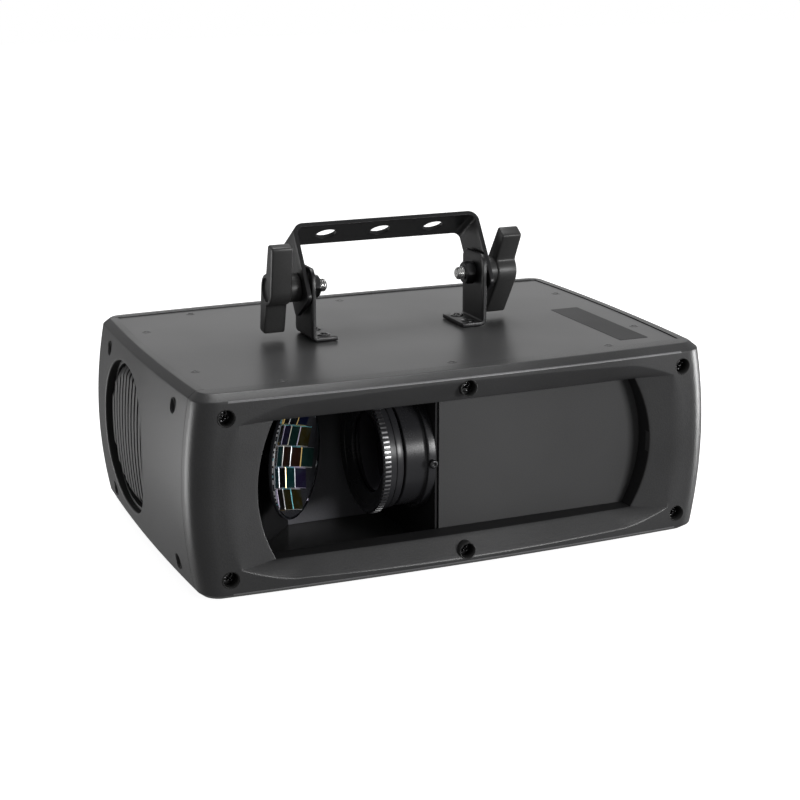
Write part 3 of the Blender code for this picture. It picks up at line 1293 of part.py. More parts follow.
def yoke():
    """A flat bar bent into a U, with three hanging holes and clipped leg ends."""
    half = YOKE_HALF_WIDTH
    rings = []
    for (xo, ao), (xi, ai) in zip(yoke_path(0.0), yoke_path(YOKE_THICKNESS)):
        rings.append([yoke_point(xo, ao, -half), yoke_point(xo, ao, half),
                      yoke_point(xi, ai, half), yoke_point(xi, ai, -half)])
    pivot = (0.0, 0.0, PIVOT_Z)
    obj = add_object("yoke", loft(rings), "black", pivot)
    wide = YOKE_OUTER_X + 2 * PAST
    cuts = [rod(pivot, RIGHTWARD, -wide, wide, BOLT_RADIUS + GAP, 24)]
    along = (0.0, math.sin(YOKE_TILT), math.cos(YOKE_TILT))
    for i in (-1, 0, 1):
        place = yoke_point(i * YOKE_HOLE_PITCH, YOKE_REACH, 0.0)
        cuts.append(rod(place, along, -PAST, PAST, YOKE_HOLE_RADIUS, 28))
    over, under = CORNER_SPARE, YOKE_CLIP + CORNER_SPARE
    for side in (-1, 1):
        corner = [(side * (half + over), -YOKE_TAIL - over), (side * (half + over), -YOKE_TAIL + under),
                  (side * (half - under), -YOKE_TAIL - over)]
        cuts.append(loft([[yoke_point(x, run, across) for across, run in corner] for x in (-wide, wide)]))
    boolean(obj, cutter("cut_yoke", joined(cuts)))


def pivot_hardware(side, sign):
    """Bolt, nut and friction washer of one pivot."""
    axis = (sign, 0, 0)
    pivot = (0.0, 0.0, PIVOT_Z)
    end = KNOB_INNER_X + BOLT_GRIP
    profile = [(BOLT_END_X, 0.0), (BOLT_END_X, BOLT_RADIUS - BOLT_EDGE),
               (BOLT_END_X + BOLT_EDGE, BOLT_RADIUS), (end, BOLT_RADIUS), (end, 0.0)]
    add_object(side + "_bolt", turned(profile, pivot, axis, 20), "steel")
    start = BRACKET_OUTER_X - BRACKET_THICKNESS - GAP
    hexagon = circle((0.0, PIVOT_Z), NUT_RADIUS, 6, math.pi / 6)
    near, far = sorted((sign * (start - NUT_WIDTH), sign * start))
    nut = add_object(side + "_nut", prism(hexagon, "x", near, far), "black")
    bore = rod(pivot, axis, start - 2 * PAST, start + 2 * PAST, BOLT_RADIUS + GAP, 20)
    boolean(nut, cutter("cut_nut_" + side, bore))
    low = BRACKET_OUTER_X + GAP / 2
    high = YOKE_OUTER_X - YOKE_THICKNESS - GAP / 2
    add_object(side + "_washer", tube(pivot, axis, low, high, WASHER_RADIUS, BOLT_RADIUS + GAP, 28), "steel")


def knob_outline(segments=10):
    """An S-shaped wing profile: a round hub with two parallel wings set off to either side."""
    hub, reach, edge = KNOB_HUB_RADIUS, KNOB_WING_REACH, KNOB_WING_EDGE
    inner = KNOB_WING_THICKNESS - hub
    meet = math.acos(-inner / hub)
    half = [(-hub, 0.0), (-hub, reach - edge), (edge - hub, reach), (inner - edge, reach),
            (inner, reach - edge), (inner, hub * math.sin(meet) + KNOB_WING_ROOT)]
    for i in range(segments):
        angle = (meet - KNOB_HUB_START) * (1 - i / segments)
        half.append((hub * math.cos(angle), hub * math.sin(angle)))
    return half + [(-y, -z) for y, z in half]


def wing_knob(side, sign, turn):
    """A two-winged knob with a round hub, a collar and a blind thread hole."""
    pivot = (0.0, 0.0, PIVOT_Z)
    axis = (sign, 0, 0)
    outline = [(-sign * y, PIVOT_Z + z) for y, z in knob_outline()]
    near, far = sorted((sign * KNOB_INNER_X, sign * KNOB_OUTER_X))
    body = turn_points(prism(outline, "x", near, far), turn, "X", pivot)
    obj = add_object(side + "_wing_knob", body, "plastic", pivot)
    low = YOKE_OUTER_X + GAP
    collar = rod(pivot, axis, low, KNOB_INNER_X + CORNER_SPARE, KNOB_COLLAR_RADIUS, 28)
    boolean(obj, cutter("add_collar_" + side, collar), "UNION")
    thread = rod(pivot, axis, low - PAST, KNOB_INNER_X + BOLT_GRIP + 2 * GAP, BOLT_RADIUS + GAP, 20)
    boolean(obj, cutter("cut_thread_" + side, thread))
    dish = rod(pivot, axis, KNOB_OUTER_X - KNOB_DISH_DEPTH, KNOB_OUTER_X + PAST, KNOB_DISH_RADIUS, 24)
    boolean(obj, cutter("cut_dish_" + side, dish))


def build_case():
    tools = case_tools()
    front_bezel(tools)
    front_screws()
    side_panel("left_side_panel", -1, tools)
    side_panel("right_side_panel", 1, tools)
    side_grille("left_grille", -1)
    side_grille("right_grille", 1)
    rear_frame(tools[1])
    lids()
    rubber_feet()
    blank_panel()


def build_optics():
    chamber_liner()
    mirror_disc()
    mirror_drive()
    lens_bulkhead()
    lens_holder()
    focus_tube()
    lenses()
    gobo_wheel()
    gobo_motor()
    led_module()
    heat_sink()
    lamp_bracket()
    fan_frame()
    fan_rotor()


def build_rear():
    power_supply()
    control_board()
    rear_plate()
    mains_inlet()
    fuse_cap()
    dmx_socket("dmx_in_socket", DMX_IN_X, False)
    dmx_socket("dmx_out_socket", DMX_OUT_X, True)
    display()
    menu_buttons()
    safety_eye()


def build_rigging():
    yoke()
    for side, sign, turn in (("left", -1, KNOB_TURN_LEFT), ("right", 1, KNOB_TURN_RIGHT)):
        bracket(side + "_bracket", sign)
        pivot_hardware(side, sign)
        wing_knob(side, sign, turn)


def main():
    clear_scene()
    build_case()
    build_optics()
    build_rear()
    build_rigging()


main()
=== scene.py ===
"""Looks of the gobo flower effect light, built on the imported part. Units are metres, Z is up."""
import math

import bmesh
import bpy
import numpy as np
from bpy.props import FloatProperty, FloatVectorProperty, IntProperty, PointerProperty
from mathutils import Matrix, Vector


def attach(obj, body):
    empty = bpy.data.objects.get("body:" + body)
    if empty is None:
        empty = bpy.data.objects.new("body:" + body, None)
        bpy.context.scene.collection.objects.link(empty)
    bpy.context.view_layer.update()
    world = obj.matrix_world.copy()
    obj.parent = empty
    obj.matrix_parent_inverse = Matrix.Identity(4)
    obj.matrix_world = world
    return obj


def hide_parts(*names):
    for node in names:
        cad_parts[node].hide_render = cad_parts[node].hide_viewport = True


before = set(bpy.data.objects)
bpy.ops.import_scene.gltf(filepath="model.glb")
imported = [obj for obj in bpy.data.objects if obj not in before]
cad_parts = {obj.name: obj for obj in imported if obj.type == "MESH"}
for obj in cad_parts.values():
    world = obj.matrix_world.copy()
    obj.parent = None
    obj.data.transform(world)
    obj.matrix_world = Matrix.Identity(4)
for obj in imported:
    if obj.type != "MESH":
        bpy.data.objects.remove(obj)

bl_info = {
    "name": "Gobo Flower Effect Light",
    "version": (1, 0, 0),
    "blender": (4, 5, 0),
    "location": "View3D > Sidebar > Effect Light",
    "description": "Builds the surfaces and finishes of a stage effect light on its CAD frame",
    "category": "Object",
}

MM = 0.001

# Case, as in the part
FOOT_HEIGHT = 4.0 * MM
CASE_HEIGHT = 117.2 * MM
HALF_HEIGHT = CASE_HEIGHT / 2
MIDDLE = FOOT_HEIGHT + HALF_HEIGHT
TOP = FOOT_HEIGHT + CASE_HEIGHT
RIM_HALF_WIDTH = 152.0 * MM
RIM_HALF_DEPTH = 102.4 * MM
FACE_HALF_WIDTH = 156.0 * MM
FACE_HALF_DEPTH = 108.3 * MM
BULGE_SIDE = 3.3 * MM
BULGE_FRONT = 4.4 * MM
BARREL = 5.55 * MM
CHAMFER_HEIGHT = 3.7 * MM
CORNER_RADIUS = 11.7 * MM
RIM_RADIUS_FRONT = 8.0 * MM
RIM_RADIUS_REAR = 7.0 * MM
LID_LINE_WIDTH = 147.75 * MM
LID_LINE_DEPTH = 93.8 * MM
LID_LINE_SHIFT = 1.35 * MM
LID_TOP = TOP - 0.5 * MM
PARTING_FRONT = -92.3 * MM
PARTING_REAR = 95.1 * MM
GAP = 0.3 * MM
EDGE_DROP = 0.6 * MM
FACE_HALF_HEIGHT = HALF_HEIGHT - CHAMFER_HEIGHT - EDGE_DROP
REAR_HALF_WIDTH = 128.0 * MM
REAR_HALF_HEIGHT = 46.0 * MM
REAR_FACE_Y = 102.3 * MM
REAR_ROUND = 1.0 * MM
LABEL_X = (114.4 * MM, 133.6 * MM)
LABEL_Y = (-81.3 * MM, 8.7 * MM)
LABEL_Z = (LID_TOP - 0.05 * MM, LID_TOP + 0.12 * MM)
FOOT_X = 122.0 * MM
FOOT_Y = 74.0 * MM
SHELL_SHARP = 26.0
SIDES = (("left", -1), ("right", 1))

# Window and its funnel
RECESS_HALF_WIDTH = 134.8 * MM
RECESS_TIP_HEIGHT = 41.3 * MM
RECESS_MID_HEIGHT = 52.4 * MM
RECESS_FLAT_HALF = 105.0 * MM
RECESS_FLAT_DROP = 2.4 * MM
RECESS_SIDE_BULGE = 5.0 * MM
WINDOW_HALF_WIDTH = 112.5 * MM
WINDOW_HALF_HEIGHT = 40.0 * MM
WINDOW_SIDE_BULGE = 10.5 * MM
WINDOW_Y = -102.6 * MM
WINDOW_BULGE = 2.2 * MM
WINDOW_MARGIN = 1.0 * MM
TUNNEL_END_Y = -92.2 * MM

# Screws: their places, their pockets, and each head's radius, height and depth of cross
SCREW_X = 141.1 * MM
SCREW_Z = 46.0 * MM
SCREW_MID_Z = 48.5 * MM
POCKET_RADIUS = 5.1 * MM
POCKET_DEPTH = 8.5 * MM
SIDE_SCREW_Y = 70.5 * MM
SIDE_SCREW_Z = 45.5 * MM
SIDE_POCKET_RADIUS = 4.6 * MM
SIDE_POCKET_DEPTH = 6.5 * MM
CUP_START = 0.05 * MM
CUP_GAP = 0.01 * MM
CUP_ROUND = 0.5 * MM
CUP_WALL = 0.6 * MM
CUTTER_REACH = 6.0 * MM
LID_SCREW_END = (140.8 * MM, 51.7 * MM)
LID_SCREW_EDGE = (102.0 * MM, 89.0 * MM)
BRACKET_SCREW_X = 47.7 * MM
BRACKET_SCREW_Y = 8.0 * MM
FRONT_HEAD = (4.3 * MM, 1.7 * MM, 2.0 * MM)
SIDE_HEAD = (3.8 * MM, 1.4 * MM, 1.7 * MM)
LID_HEAD = (2.9 * MM, 0.25 * MM, 0.9 * MM)
BRACKET_HEAD = (4.1 * MM, 1.1 * MM, 1.6 * MM)

# Side grilles
GRILLE_Y = 29.5 * MM
GRILLE_HALF = 45.3 * MM
GRILLE_POWER = 2.4
GRILLE_RECESS = 4.0 * MM
GRILLE_LIP = 1.2 * MM
SLAT_COUNT = 12
SLAT_PITCH = 7.4 * MM
SLAT_CLEARANCE = 3.4 * MM
SLAT_BEND = 7.0 * MM
RING_X = 153.9 * MM
RING_THICKNESS = 3.0 * MM
RING_MARGINS = (-2.0 * MM, 3.0 * MM)

# Optics
AXIS_Y = -55.7 * MM
FOCUS_FRONT_X = -43.0 * MM
FLANGE_X = -15.5 * MM
HOLDER_BACK_X = -11.0 * MM
LENS_RADIUS = 25.6 * MM
LENS_EDGE = 1.5 * MM
LENS_RISE = 1.6 * MM
LENS_SETBACK = 7.4 * MM
TOOTH_ROOT = 35.3 * MM
TOOTH_ROUND = (0.0, 0.0, 0.0, 1.0, 1.0, 1.0, 1.0, 0.0)
TOOTH_ALONG = np.array((0.0, 1.0, 1.0, 1.0, 0.0, 0.0, 0.0, 0.0))
DISC_X = -91.0 * MM
DISC_RAISE = 3.5 * MM
DISC_RADIUS = 36.0 * MM
DISC_ANGLE = math.radians(48.0)
DISC_THICKNESS = 2.4 * MM
DISC_DISH = 7.0 * MM
TILE_TURN = math.radians(-17.0)
TILE_GAP = 0.12 * MM
TILE_FOOT = -0.6 * MM
TILE_EDGE = 0.45 * MM
TILE_TOP = 0.8 * MM
GLINT_COUNT = 160
LINER_CORNER_X = -72.6 * MM
# Heights over which the back wall goes from painted light low down to painted shade higher up
LINER_PALE_Z = 36.0 * MM
LINER_DARK_Z = 80.0 * MM

# Turned profiles: millimetres along the axis and out from it
TUBE_PROFILE = MM * np.array([
    (1, 32.4), (0.2, 34), (0, 34.3), (0, 34.9), (0.4, 35.2), (4.6, 35.2), (4.7, 34.8), (8.2, 34.8), (8.2, 34),
    (8.8, 34), (8.8, 34.6), (12.6, 34.2), (12.9, 33.8), (12.9, 30.1), (27, 30.1), (27, 27.6), (12, 27.6),
    (10, 25.9), (5.4, 25.9), (5.4, 24.2), (3.8, 24.2), (3.5, 24.6), (1.7, 30.6), (1.2, 30.8), (1, 32.4)])
GRIP_PROFILE = MM * np.array([
    (0.45, 34.9), (0.7, 35.25), (2.5, 35.35), (4.2, 35.25), (4.5, 34.9), (4.5, 34), (0.45, 34), (0.45, 34.9)])
HOLDER_PROFILE = MM * np.array([
    (-11, 36.2), (-15, 36.2), (-15.5, 35.8), (-15.5, 34.2), (-16.6, 33.5), (-27.9, 33.5), (-28.4, 33.1),
    (-28.4, 30.5), (-11, 30.5), (-11, 36.2)])
LOCK_PROFILE = MM * np.array([
    (30.6, 0), (30.6, 1.5), (36.4, 1.5), (36.4, 2.6), (38.6, 2.6), (39.2, 2), (39.2, 1), (38.2, 0.8),
    (38.2, 0)])
FOOT_PROFILE = MM * np.array([(1.2, 0), (1.2, 3), (0, 3.6), (0, 8), (0.9, 9), (4.2, 9), (4.2, 0)])
NUT_CONE = MM * np.array([
    (0, 0), (0, 6.3), (0.3, 6.6), (0.8, 7), (1.4, 7.6), (5, 7.6), (5.6, 7), (6.1, 6.6), (6.4, 6.3), (6.4, 0)])
GLINT_BAND = MM * np.array([(-0.9, -1.5), (0.05, -1.5), (0.25, -0.7), (-0.9, -0.7), (-0.9, -1.5)])

# Brackets, yoke and knobs
PIVOT_Z = 152.0 * MM
PIVOT = (0.0, 0.0, PIVOT_Z)
BRACKET_HALF_WIDTH = 15.2 * MM
BRACKET_OUTER_X = 57.2 * MM
BRACKET_THICKNESS = 2.4 * MM
BRACKET_FOOT_X = 41.2 * MM
BRACKET_TOP = 13.0 * MM
BRACKET_CHAMFER = 4.0 * MM
BRACKET_BEND = 3.4 * MM
BRACKET_SCREW_Z = LID_TOP + GAP + BRACKET_THICKNESS - 0.1 * MM
YOKE_OUTER_X = 61.0 * MM
YOKE_THICKNESS = 2.5 * MM
YOKE_HALF_WIDTH = 13.9 * MM
YOKE_REACH = 35.3 * MM
YOKE_TAIL = 14.0 * MM
YOKE_BEND = 6.5 * MM
YOKE_CORNER = 3.5 * MM
YOKE_TILT = math.radians(34.0)
YOKE_HOLE_RADIUS = 6.5 * MM
YOKE_HOLE_PITCH = 35.5 * MM
BOLT_RADIUS = 4.0 * MM
BOLT_END_X = 43.1 * MM
THREAD_PITCH = 1.25 * MM
THREAD_DEPTH = 0.22 * MM
NUT_ACROSS_FLATS = 13.0 * MM
NUT_WIDTH = 6.4 * MM
KNOB_OUTER_X = 80.9 * MM
KNOB_INNER_X = 67.7 * MM
KNOB_HUB_RADIUS = 9.6 * MM
KNOB_WING_THICKNESS = 8.8 * MM
KNOB_WING_REACH = 28.7 * MM
KNOB_COLLAR_RADIUS = 8.6 * MM
KNOB_DISH = [(KNOB_OUTER_X - 1.6 * MM, 6.6 * MM), (KNOB_OUTER_X - 1.2 * MM, 7.1 * MM),
             (KNOB_OUTER_X + 2.0 * MM, 7.6 * MM)]
KNOB_TURNS = {"left": math.radians(8.0), "right": math.radians(34.0)}

# Camera of the photograph
CAMERA_AZIMUTH = math.radians(-22.93)
CAMERA_ELEVATION = math.radians(15.66)
CAMERA_ROLL = math.radians(-0.08)
CAMERA_DISTANCE = 1.1003
CAMERA_TARGET = (0.0046, -0.0020, 0.0753)
CAMERA_LENS = 79.59
CAMERA_SENSOR = 36.0
FLOOR_HALF = 4.0
FLOOR_Z = -0.2 * MM

# Lights: place, aim, size and the setting that holds the power
LIGHTS = {
    "left_softbox": ((-1.00, 0.66, -0.16), (0, 0, 0.04), (0.7, 0.45), "key_power"),
    "top_softbox": ((0.15, 0.38, 1.35), (0, 0, 0.1), (0.6, 0.7), "top_power"),
    "front_softbox": ((0.52, -1.10, 0.32), (-0.03, 0, 0.07), (0.36, 0.26), "front_power"),
    "back_strip": ((0.48, 1.20, 0.42), (0, 0, 0.12), (1.5, 0.3), "back_power"),
    "right_softbox": ((1.20, -0.20, 0.02), (0, 0, 0.07), (0.4, 0.5), "right_power")}

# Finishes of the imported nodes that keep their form
INSIDE_FINISHES = {
    "steel": "gobo_wheel gobo_motor mirror_motor safety_eye", "alloy": "lamp_bracket heat_sink power_supply",
    "board": "led_module control_board", "lens_glass": "condenser_lens", "lens_matt": "fan_frame fan_rotor",
    "lid": "rear_plate", "screen": "display_window",
    "socket": "mains_inlet fuse_cap dmx_in_socket dmx_out_socket "
              "menu_button_1 menu_button_2 menu_button_3 menu_button_4"}

# Points along the edges of the grids
TOP_COUNT = 65
SIDE_COUNT = 27
ACROSS_COUNT = 9
PANEL_COUNT = 81
PANEL_SIDE_COUNT = 33


# Curves and surfaces as whole arrays

def points_of(*coordinates):
    """Points from coordinates that are spread over each other's shapes."""
    return np.stack(np.broadcast_arrays(*coordinates), axis=-1)


def bezier(start, corner, end, count):
    """Quadratic curve: (1 - q)^2 start + 2 q (1 - q) corner + q^2 end, for q from 0 to 1."""
    start, corner, end = np.asarray(start), np.asarray(corner), np.asarray(end)
    q = np.linspace(0, 1, count).reshape((-1,) + (1,) * np.ndim(start))
    return (1 - q) ** 2 * start + 2 * q * (1 - q) * corner + q ** 2 * end


def span(start, end, count):
    """Straight steps: start + q (end - start), for q from 0 to 1."""
    q = np.linspace(0, 1, count).reshape((-1,) + (1,) * np.ndim(start))
    return start + (end - start) * q


def unit(vectors):
    """Vectors divided by their lengths."""
    return vectors / np.maximum(np.linalg.norm(vectors, axis=-1, keepdims=True), 1e-12)


def eased(points, radius, count=4, closed=False):
    """Each corner of a polyline becomes a quadratic curve that begins and ends a radius away."""
    points = np.asarray(points, float)
    before = np.roll(points, 1, axis=0) - points
    after = np.roll(points, -1, axis=0) - points
    radius = np.broadcast_to(np.asarray(radius, float), (len(points),))[:, None]
    limit = 0.45 * np.minimum(np.linalg.norm(before, axis=1), np.linalg.norm(after, axis=1))[:, None]
    reach = np.minimum(radius, limit)
    curve = bezier(points + unit(before) * reach, points, points + unit(after) * reach, count)
    line = curve.transpose(1, 0, 2).reshape(-1, points.shape[1])
    if closed:
        return line
    return np.concatenate([points[:1], line[count:-count], points[-1:]])


def smoothed(outline, spacing, width):
    """A closed outline walked in even steps, each point the Gaussian mean of those around it."""
    loop = np.concatenate([outline, outline[:1]])
    length = np.concatenate([[0], np.cumsum(np.linalg.norm(np.diff(loop, axis=0), axis=1))])
    count = int(length[-1] / spacing)
    at = np.linspace(0, length[-1], count, endpoint=False)
    even = np.stack([np.interp(at, length, loop[:, i]) for i in range(loop.shape[1])], axis=1)
    distance = np.minimum(np.arange(count), count - np.arange(count)) * spacing
    kernel = np.exp(-0.5 * (distance / width) ** 2)
    spectrum = np.fft.fft(even, axis=0) * np.fft.fft(kernel / kernel.sum())[:, None]
    return np.fft.ifft(spectrum, axis=0).real


def frame_about(direction):
    """Two directions square to an axis, and the axis, as arrays."""
    axis = Vector(direction).normalized()
    side = Vector((0, 0, 1)) if abs(axis.z) < 0.9 else Vector((1, 0, 0))
    up = axis.cross(side).normalized()
    return np.array(up.cross(axis)), np.array(up), np.array(axis)


def turned(profile, centre, direction, count, ripple=0.0):
    """Profile of (along, radius) turned round an axis: centre + along axis + radius (cos side + sin up)."""
    profile = np.asarray(profile, float)
    side, up, axis = frame_about(direction)
    angle = np.linspace(0, 2 * math.pi, count, endpoint=False)[:, None]
    ring = np.cos(angle) * side + np.sin(angle) * up
    radius = profile[:, 1][:, None] + ripple
    return np.array(centre) + profile[:, 0][:, None, None] * axis + radius[..., None] * ring


def rotated(points, angle, axis, centre):
    """Points turned by an angle about an axis through a centre."""
    turn = np.array(Matrix.Rotation(angle, 3, axis))
    return (points - np.array(centre)) @ turn.T + np.array(centre)


class Surface:
    """Grids and flat outlines gathered into one mesh, welded where they meet."""

    def __init__(self):
        self.points = []
        self.faces = []
        self.count = 0

    def add(self, points, faces):
        points = np.asarray(points, float).reshape(-1, 3)
        self.faces += (np.asarray(faces) + self.count).tolist()
        self.points.append(points)
        self.count += len(points)

    def grid(self, points, wrap=False):
        """Quads between neighbouring points of rows and columns; wrap joins the last column to the first."""
        rows, columns = points.shape[:2]
        index = np.arange(rows * columns).reshape(rows, columns)
        if wrap:
            index = np.concatenate([index, index[:, :1]], axis=1)
        quads = np.stack([index[:-1, :-1], index[:-1, 1:], index[1:, 1:], index[1:, :-1]], axis=-1)
        self.add(points, quads.reshape(-1, 4))

    def outline(self, points):
        """One flat face round the points."""
        self.add(points, [list(range(len(points)))])

    def tube(self, rings):
        """Rings joined in order, with a flat face at each end."""
        self.grid(rings, wrap=True)
        self.outline(rings[0])
        self.outline(rings[-1])

    def build(self, name, inside=None, angle=30.0):
        """Weld, turn the faces outwards (away from the inside point on an open skin) and shade."""
        mesh = bpy.data.meshes.new(name)
        mesh.from_pydata(np.concatenate(self.points).tolist(), [], self.faces)
        bm = bmesh.new()
        bm.from_mesh(mesh)
        bmesh.ops.remove_doubles(bm, verts=bm.verts, dist=0.002 * MM)
        bmesh.ops.recalc_face_normals(bm, faces=bm.faces)
        if inside is not None:
            base = Vector(inside)
            facing = sum(f.calc_area() * f.normal.dot(f.calc_center_median() - base) for f in bm.faces)
            if facing < 0:
                bmesh.ops.reverse_faces(bm, faces=bm.faces)
        bm.to_mesh(mesh)
        bm.free()
        mesh.shade_smooth()
        mesh.set_sharp_from_angle(angle=math.radians(angle))
        obj = bpy.data.objects.new(name, mesh)
        bpy.context.scene.collection.objects.link(obj)
        return obj


def lathed(name, profile, centre, axis, count, angle=30.0, ripple=0.0):
    """A piece whose profile is turned about an axis."""
    surface = Surface()
    surface.grid(turned(profile, centre, axis, count, ripple), wrap=True)
    return surface.build(name, None, angle)


def thicken(obj, thickness):
    """A wall behind the skin."""
    mod = obj.modifiers.new("Wall", "SOLIDIFY")
    mod.thickness = thickness
    mod.offset = -1.0
    mod.use_even_offset = False


def soften(obj, width, segments=2, angle=50.0):
    """Rounded edges."""
    mod = obj.modifiers.new("Edge", "BEVEL")
    mod.width = width
    mod.segments = segments
    mod.limit_method = "ANGLE"
    mod.angle_limit = math.radians(angle)
    mod.harden_normals = False


def settle(obj, angle=30.0):
    """Put the modifiers' result into the mesh."""
    graph = bpy.context.evaluated_depsgraph_get()
    mesh = bpy.data.meshes.new_from_object(obj.evaluated_get(graph))
    obj.modifiers.clear()
    obj.data = mesh
    mesh.shade_smooth()
    mesh.set_sharp_from_angle(angle=math.radians(angle))


def carve(obj, surface, angle=30.0):
    """Cut a closed surface out of a piece and keep only the result."""
    tool = surface.build("carving_tool")
    mod = obj.modifiers.new("Carve", "BOOLEAN")
    mod.operation = "DIFFERENCE"
    mod.solver = "MANIFOLD"
    mod.object = tool
    settle(obj, angle)
    bpy.data.objects.remove(tool, do_unlink=True)


# Shader building

class Number:
    """A shader value; arithmetic on it adds Math nodes to its material."""

    def __init__(self, finish, socket):
        self.finish = finish
        self.socket = socket

    def __add__(self, other):
        return self.finish.math("ADD", self, other)

    def __sub__(self, other):
        return self.finish.math("SUBTRACT", self, other)

    def __rsub__(self, other):
        return self.finish.math("SUBTRACT", other, self)

    def __mul__(self, other):
        return self.finish.math("MULTIPLY", self, other)

    __radd__ = __add__
    __rmul__ = __mul__


class Shading:
    """Node building in one node tree."""

    def __init__(self, tree):
        self.tree = tree

    def feed(self, socket, value):
        """Link a value into a socket, or set it there."""
        if isinstance(value, Number):
            value = value.socket
        if isinstance(value, bpy.types.NodeSocket):
            self.tree.links.new(value, socket)
        elif socket.type == "RGBA" and len(value) == 3:
            socket.default_value = (*value, 1.0)
        else:
            socket.default_value = value

    def node(self, kind, settings, inputs):
        """A node of a type with its settings made first, then its sockets linked or set."""
        node = self.tree.nodes.new(kind)
        for key, value in settings.items():
            setattr(node, key, value)
        for key, value in inputs.items():
            self.feed(node.inputs[key], value)
        return node

    def math(self, operation, first, second=0.0):
        node = self.node("ShaderNodeMath", {"operation": operation}, {0: first, 1: second})
        return Number(self, node.outputs[0])

    def ramp(self, value, low, high):
        """Smooth step of a value from 0 at low to 1 at high."""
        node = self.node("ShaderNodeMapRange", {"interpolation_type": "SMOOTHSTEP"}, {
            "Value": value, "From Min": low, "From Max": high})
        return Number(self, node.outputs["Result"])

    def mix(self, factor, first, second):
        node = self.node("ShaderNodeMix", {"data_type": "RGBA"}, {"Factor": factor, 6: first, 7: second})
        return node.outputs[2]


class Finish(Shading):
    """A material with one Principled shader."""

    def __init__(self, name, **constants):
        self.material = bpy.data.materials.new(name)
        self.material.use_nodes = True
        super().__init__(self.material.node_tree)
        self.shader = self.tree.nodes["Principled BSDF"]
        self.set(**constants)

    def objects_point(self, scale=(1.0, 1.0, 1.0)):
        """Object coordinates, stretched."""
        place = self.node("ShaderNodeTexCoord", {}, {}).outputs["Object"]
        return self.node("ShaderNodeMapping", {}, {"Vector": place, "Scale": scale}).outputs[0]

    def noise(self, scale, detail=2.0, roughness=0.5, stretch=(1.0, 1.0, 1.0)):
        vector = self.objects_point(stretch)
        node = self.node("ShaderNodeTexNoise", {}, {
            "Vector": vector, "Scale": scale, "Detail": detail, "Roughness": roughness})
        return Number(self, node.outputs["Fac"])

    def cells(self, scale, feature="F1"):
        vector = self.objects_point()
        node = self.node("ShaderNodeTexVoronoi", {"feature": feature}, {"Vector": vector, "Scale": scale})
        return Number(self, node.outputs["Distance"])

    def bump(self, height, depth):
        """Depth is the distance in metres that a height of 1 stands for."""
        return self.node("ShaderNodeBump", {}, {"Height": height, "Distance": depth}).outputs["Normal"]

    def set(self, **values):
        for key, value in values.items():
            self.feed(self.shader.inputs[key.replace("_", " ")], value)


def shaded(colour, factor):
    """A colour made brighter or darker."""
    return tuple(min(channel * factor, 1.0) for channel in colour)


def moulded(name, colour, roughness, grain=1150.0, depth=0.11 * MM, spread=0.16):
    """Moulded plastic: spark-eroded grain, faint clouding and uneven gloss."""
    f = Finish(name, Specular_IOR_Level=0.45)
    cloud = f.noise(14.0, 3.0)
    fine = f.noise(grain, 2.0, 0.6)
    speck = f.noise(grain * 2.6, 1.0)
    tone = f.ramp(cloud * 0.6 + fine * 0.4, 0.3, 0.7)
    f.set(Base_Color=f.mix(tone, shaded(colour, 1 - spread), shaded(colour, 1 + spread)),
          Roughness=f.ramp(cloud, 0.2, 0.8) * 0.08 + (roughness - 0.04) + fine * 0.04,
          Normal=f.bump(fine * 0.7 + speck * 0.3, depth))
    return f.material


def painted(name, colour, roughness, orange_peel=260.0, depth=0.02 * MM):
    """Powder-coated sheet: orange peel, dust specks and a soft gloss."""
    f = Finish(name, Specular_IOR_Level=0.5)
    peel = f.noise(orange_peel, 2.0)
    fine = f.noise(orange_peel * 7, 2.0)
    cloud = f.noise(9.0, 3.0)
    dust = f.ramp(f.noise(420.0, 3.0, 0.7), 0.70, 0.80)
    tone = f.mix(f.ramp(cloud, 0.3, 0.7), shaded(colour, 0.92), shaded(colour, 1.08))
    f.set(Base_Color=f.mix(dust * 0.35, tone, shaded(colour, 1.9)),
          Roughness=f.ramp(cloud, 0.25, 0.75) * 0.06 + (roughness - 0.03) + dust * 0.12,
          Normal=f.bump(peel * 0.6 + fine * 0.4, depth))
    return f.material


def metal(name, colour, roughness, brushed=(1.0, 1.0, 1.0), scale=600.0):
    """Machined or plated metal with fine tool marks and dull patches."""
    f = Finish(name, Metallic=1.0)
    marks = f.noise(scale, 3.0, 0.6, brushed)
    patch = f.noise(60.0, 2.0)
    f.set(Base_Color=f.mix(f.ramp(patch, 0.3, 0.7), shaded(colour, 0.82), colour),
          Roughness=f.ramp(marks, 0.3, 0.7) * 0.12 + (roughness - 0.04) + patch * 0.06,
          Normal=f.bump(marks, 0.015 * MM))
    return f.material


def chamber_sheet(name, black, grey):
    """Black sheet whose wall behind the lens is a smoother grey, palest low down as painted light and darker
    higher up as painted shade under the window's top edge.
    """
    f = Finish(name, Specular_IOR_Level=0.5)
    place = f.node("ShaderNodeSeparateXYZ", {}, {"Vector": f.objects_point()})
    x, z = (Number(f, place.outputs[axis]) for axis in "XZ")
    # Pale mask: grey on the back wall, paler low down as painted light and darker higher up as painted shade
    pale = f.ramp(x, LINER_CORNER_X - 1.0 * MM, LINER_CORNER_X)
    pale = pale * (1.0 - f.ramp(z, LINER_PALE_Z, LINER_DARK_Z) * 0.8)
    fine = f.noise(900.0, 2.0, 0.6)
    tone = f.mix(pale, black, grey)
    f.set(Base_Color=f.mix(fine * 0.3, tone, shaded(black, 0.6)),
          Roughness=fine * 0.06 + 0.62 - pale * 0.24, Normal=f.bump(fine, 0.02 * MM))
    return f.material


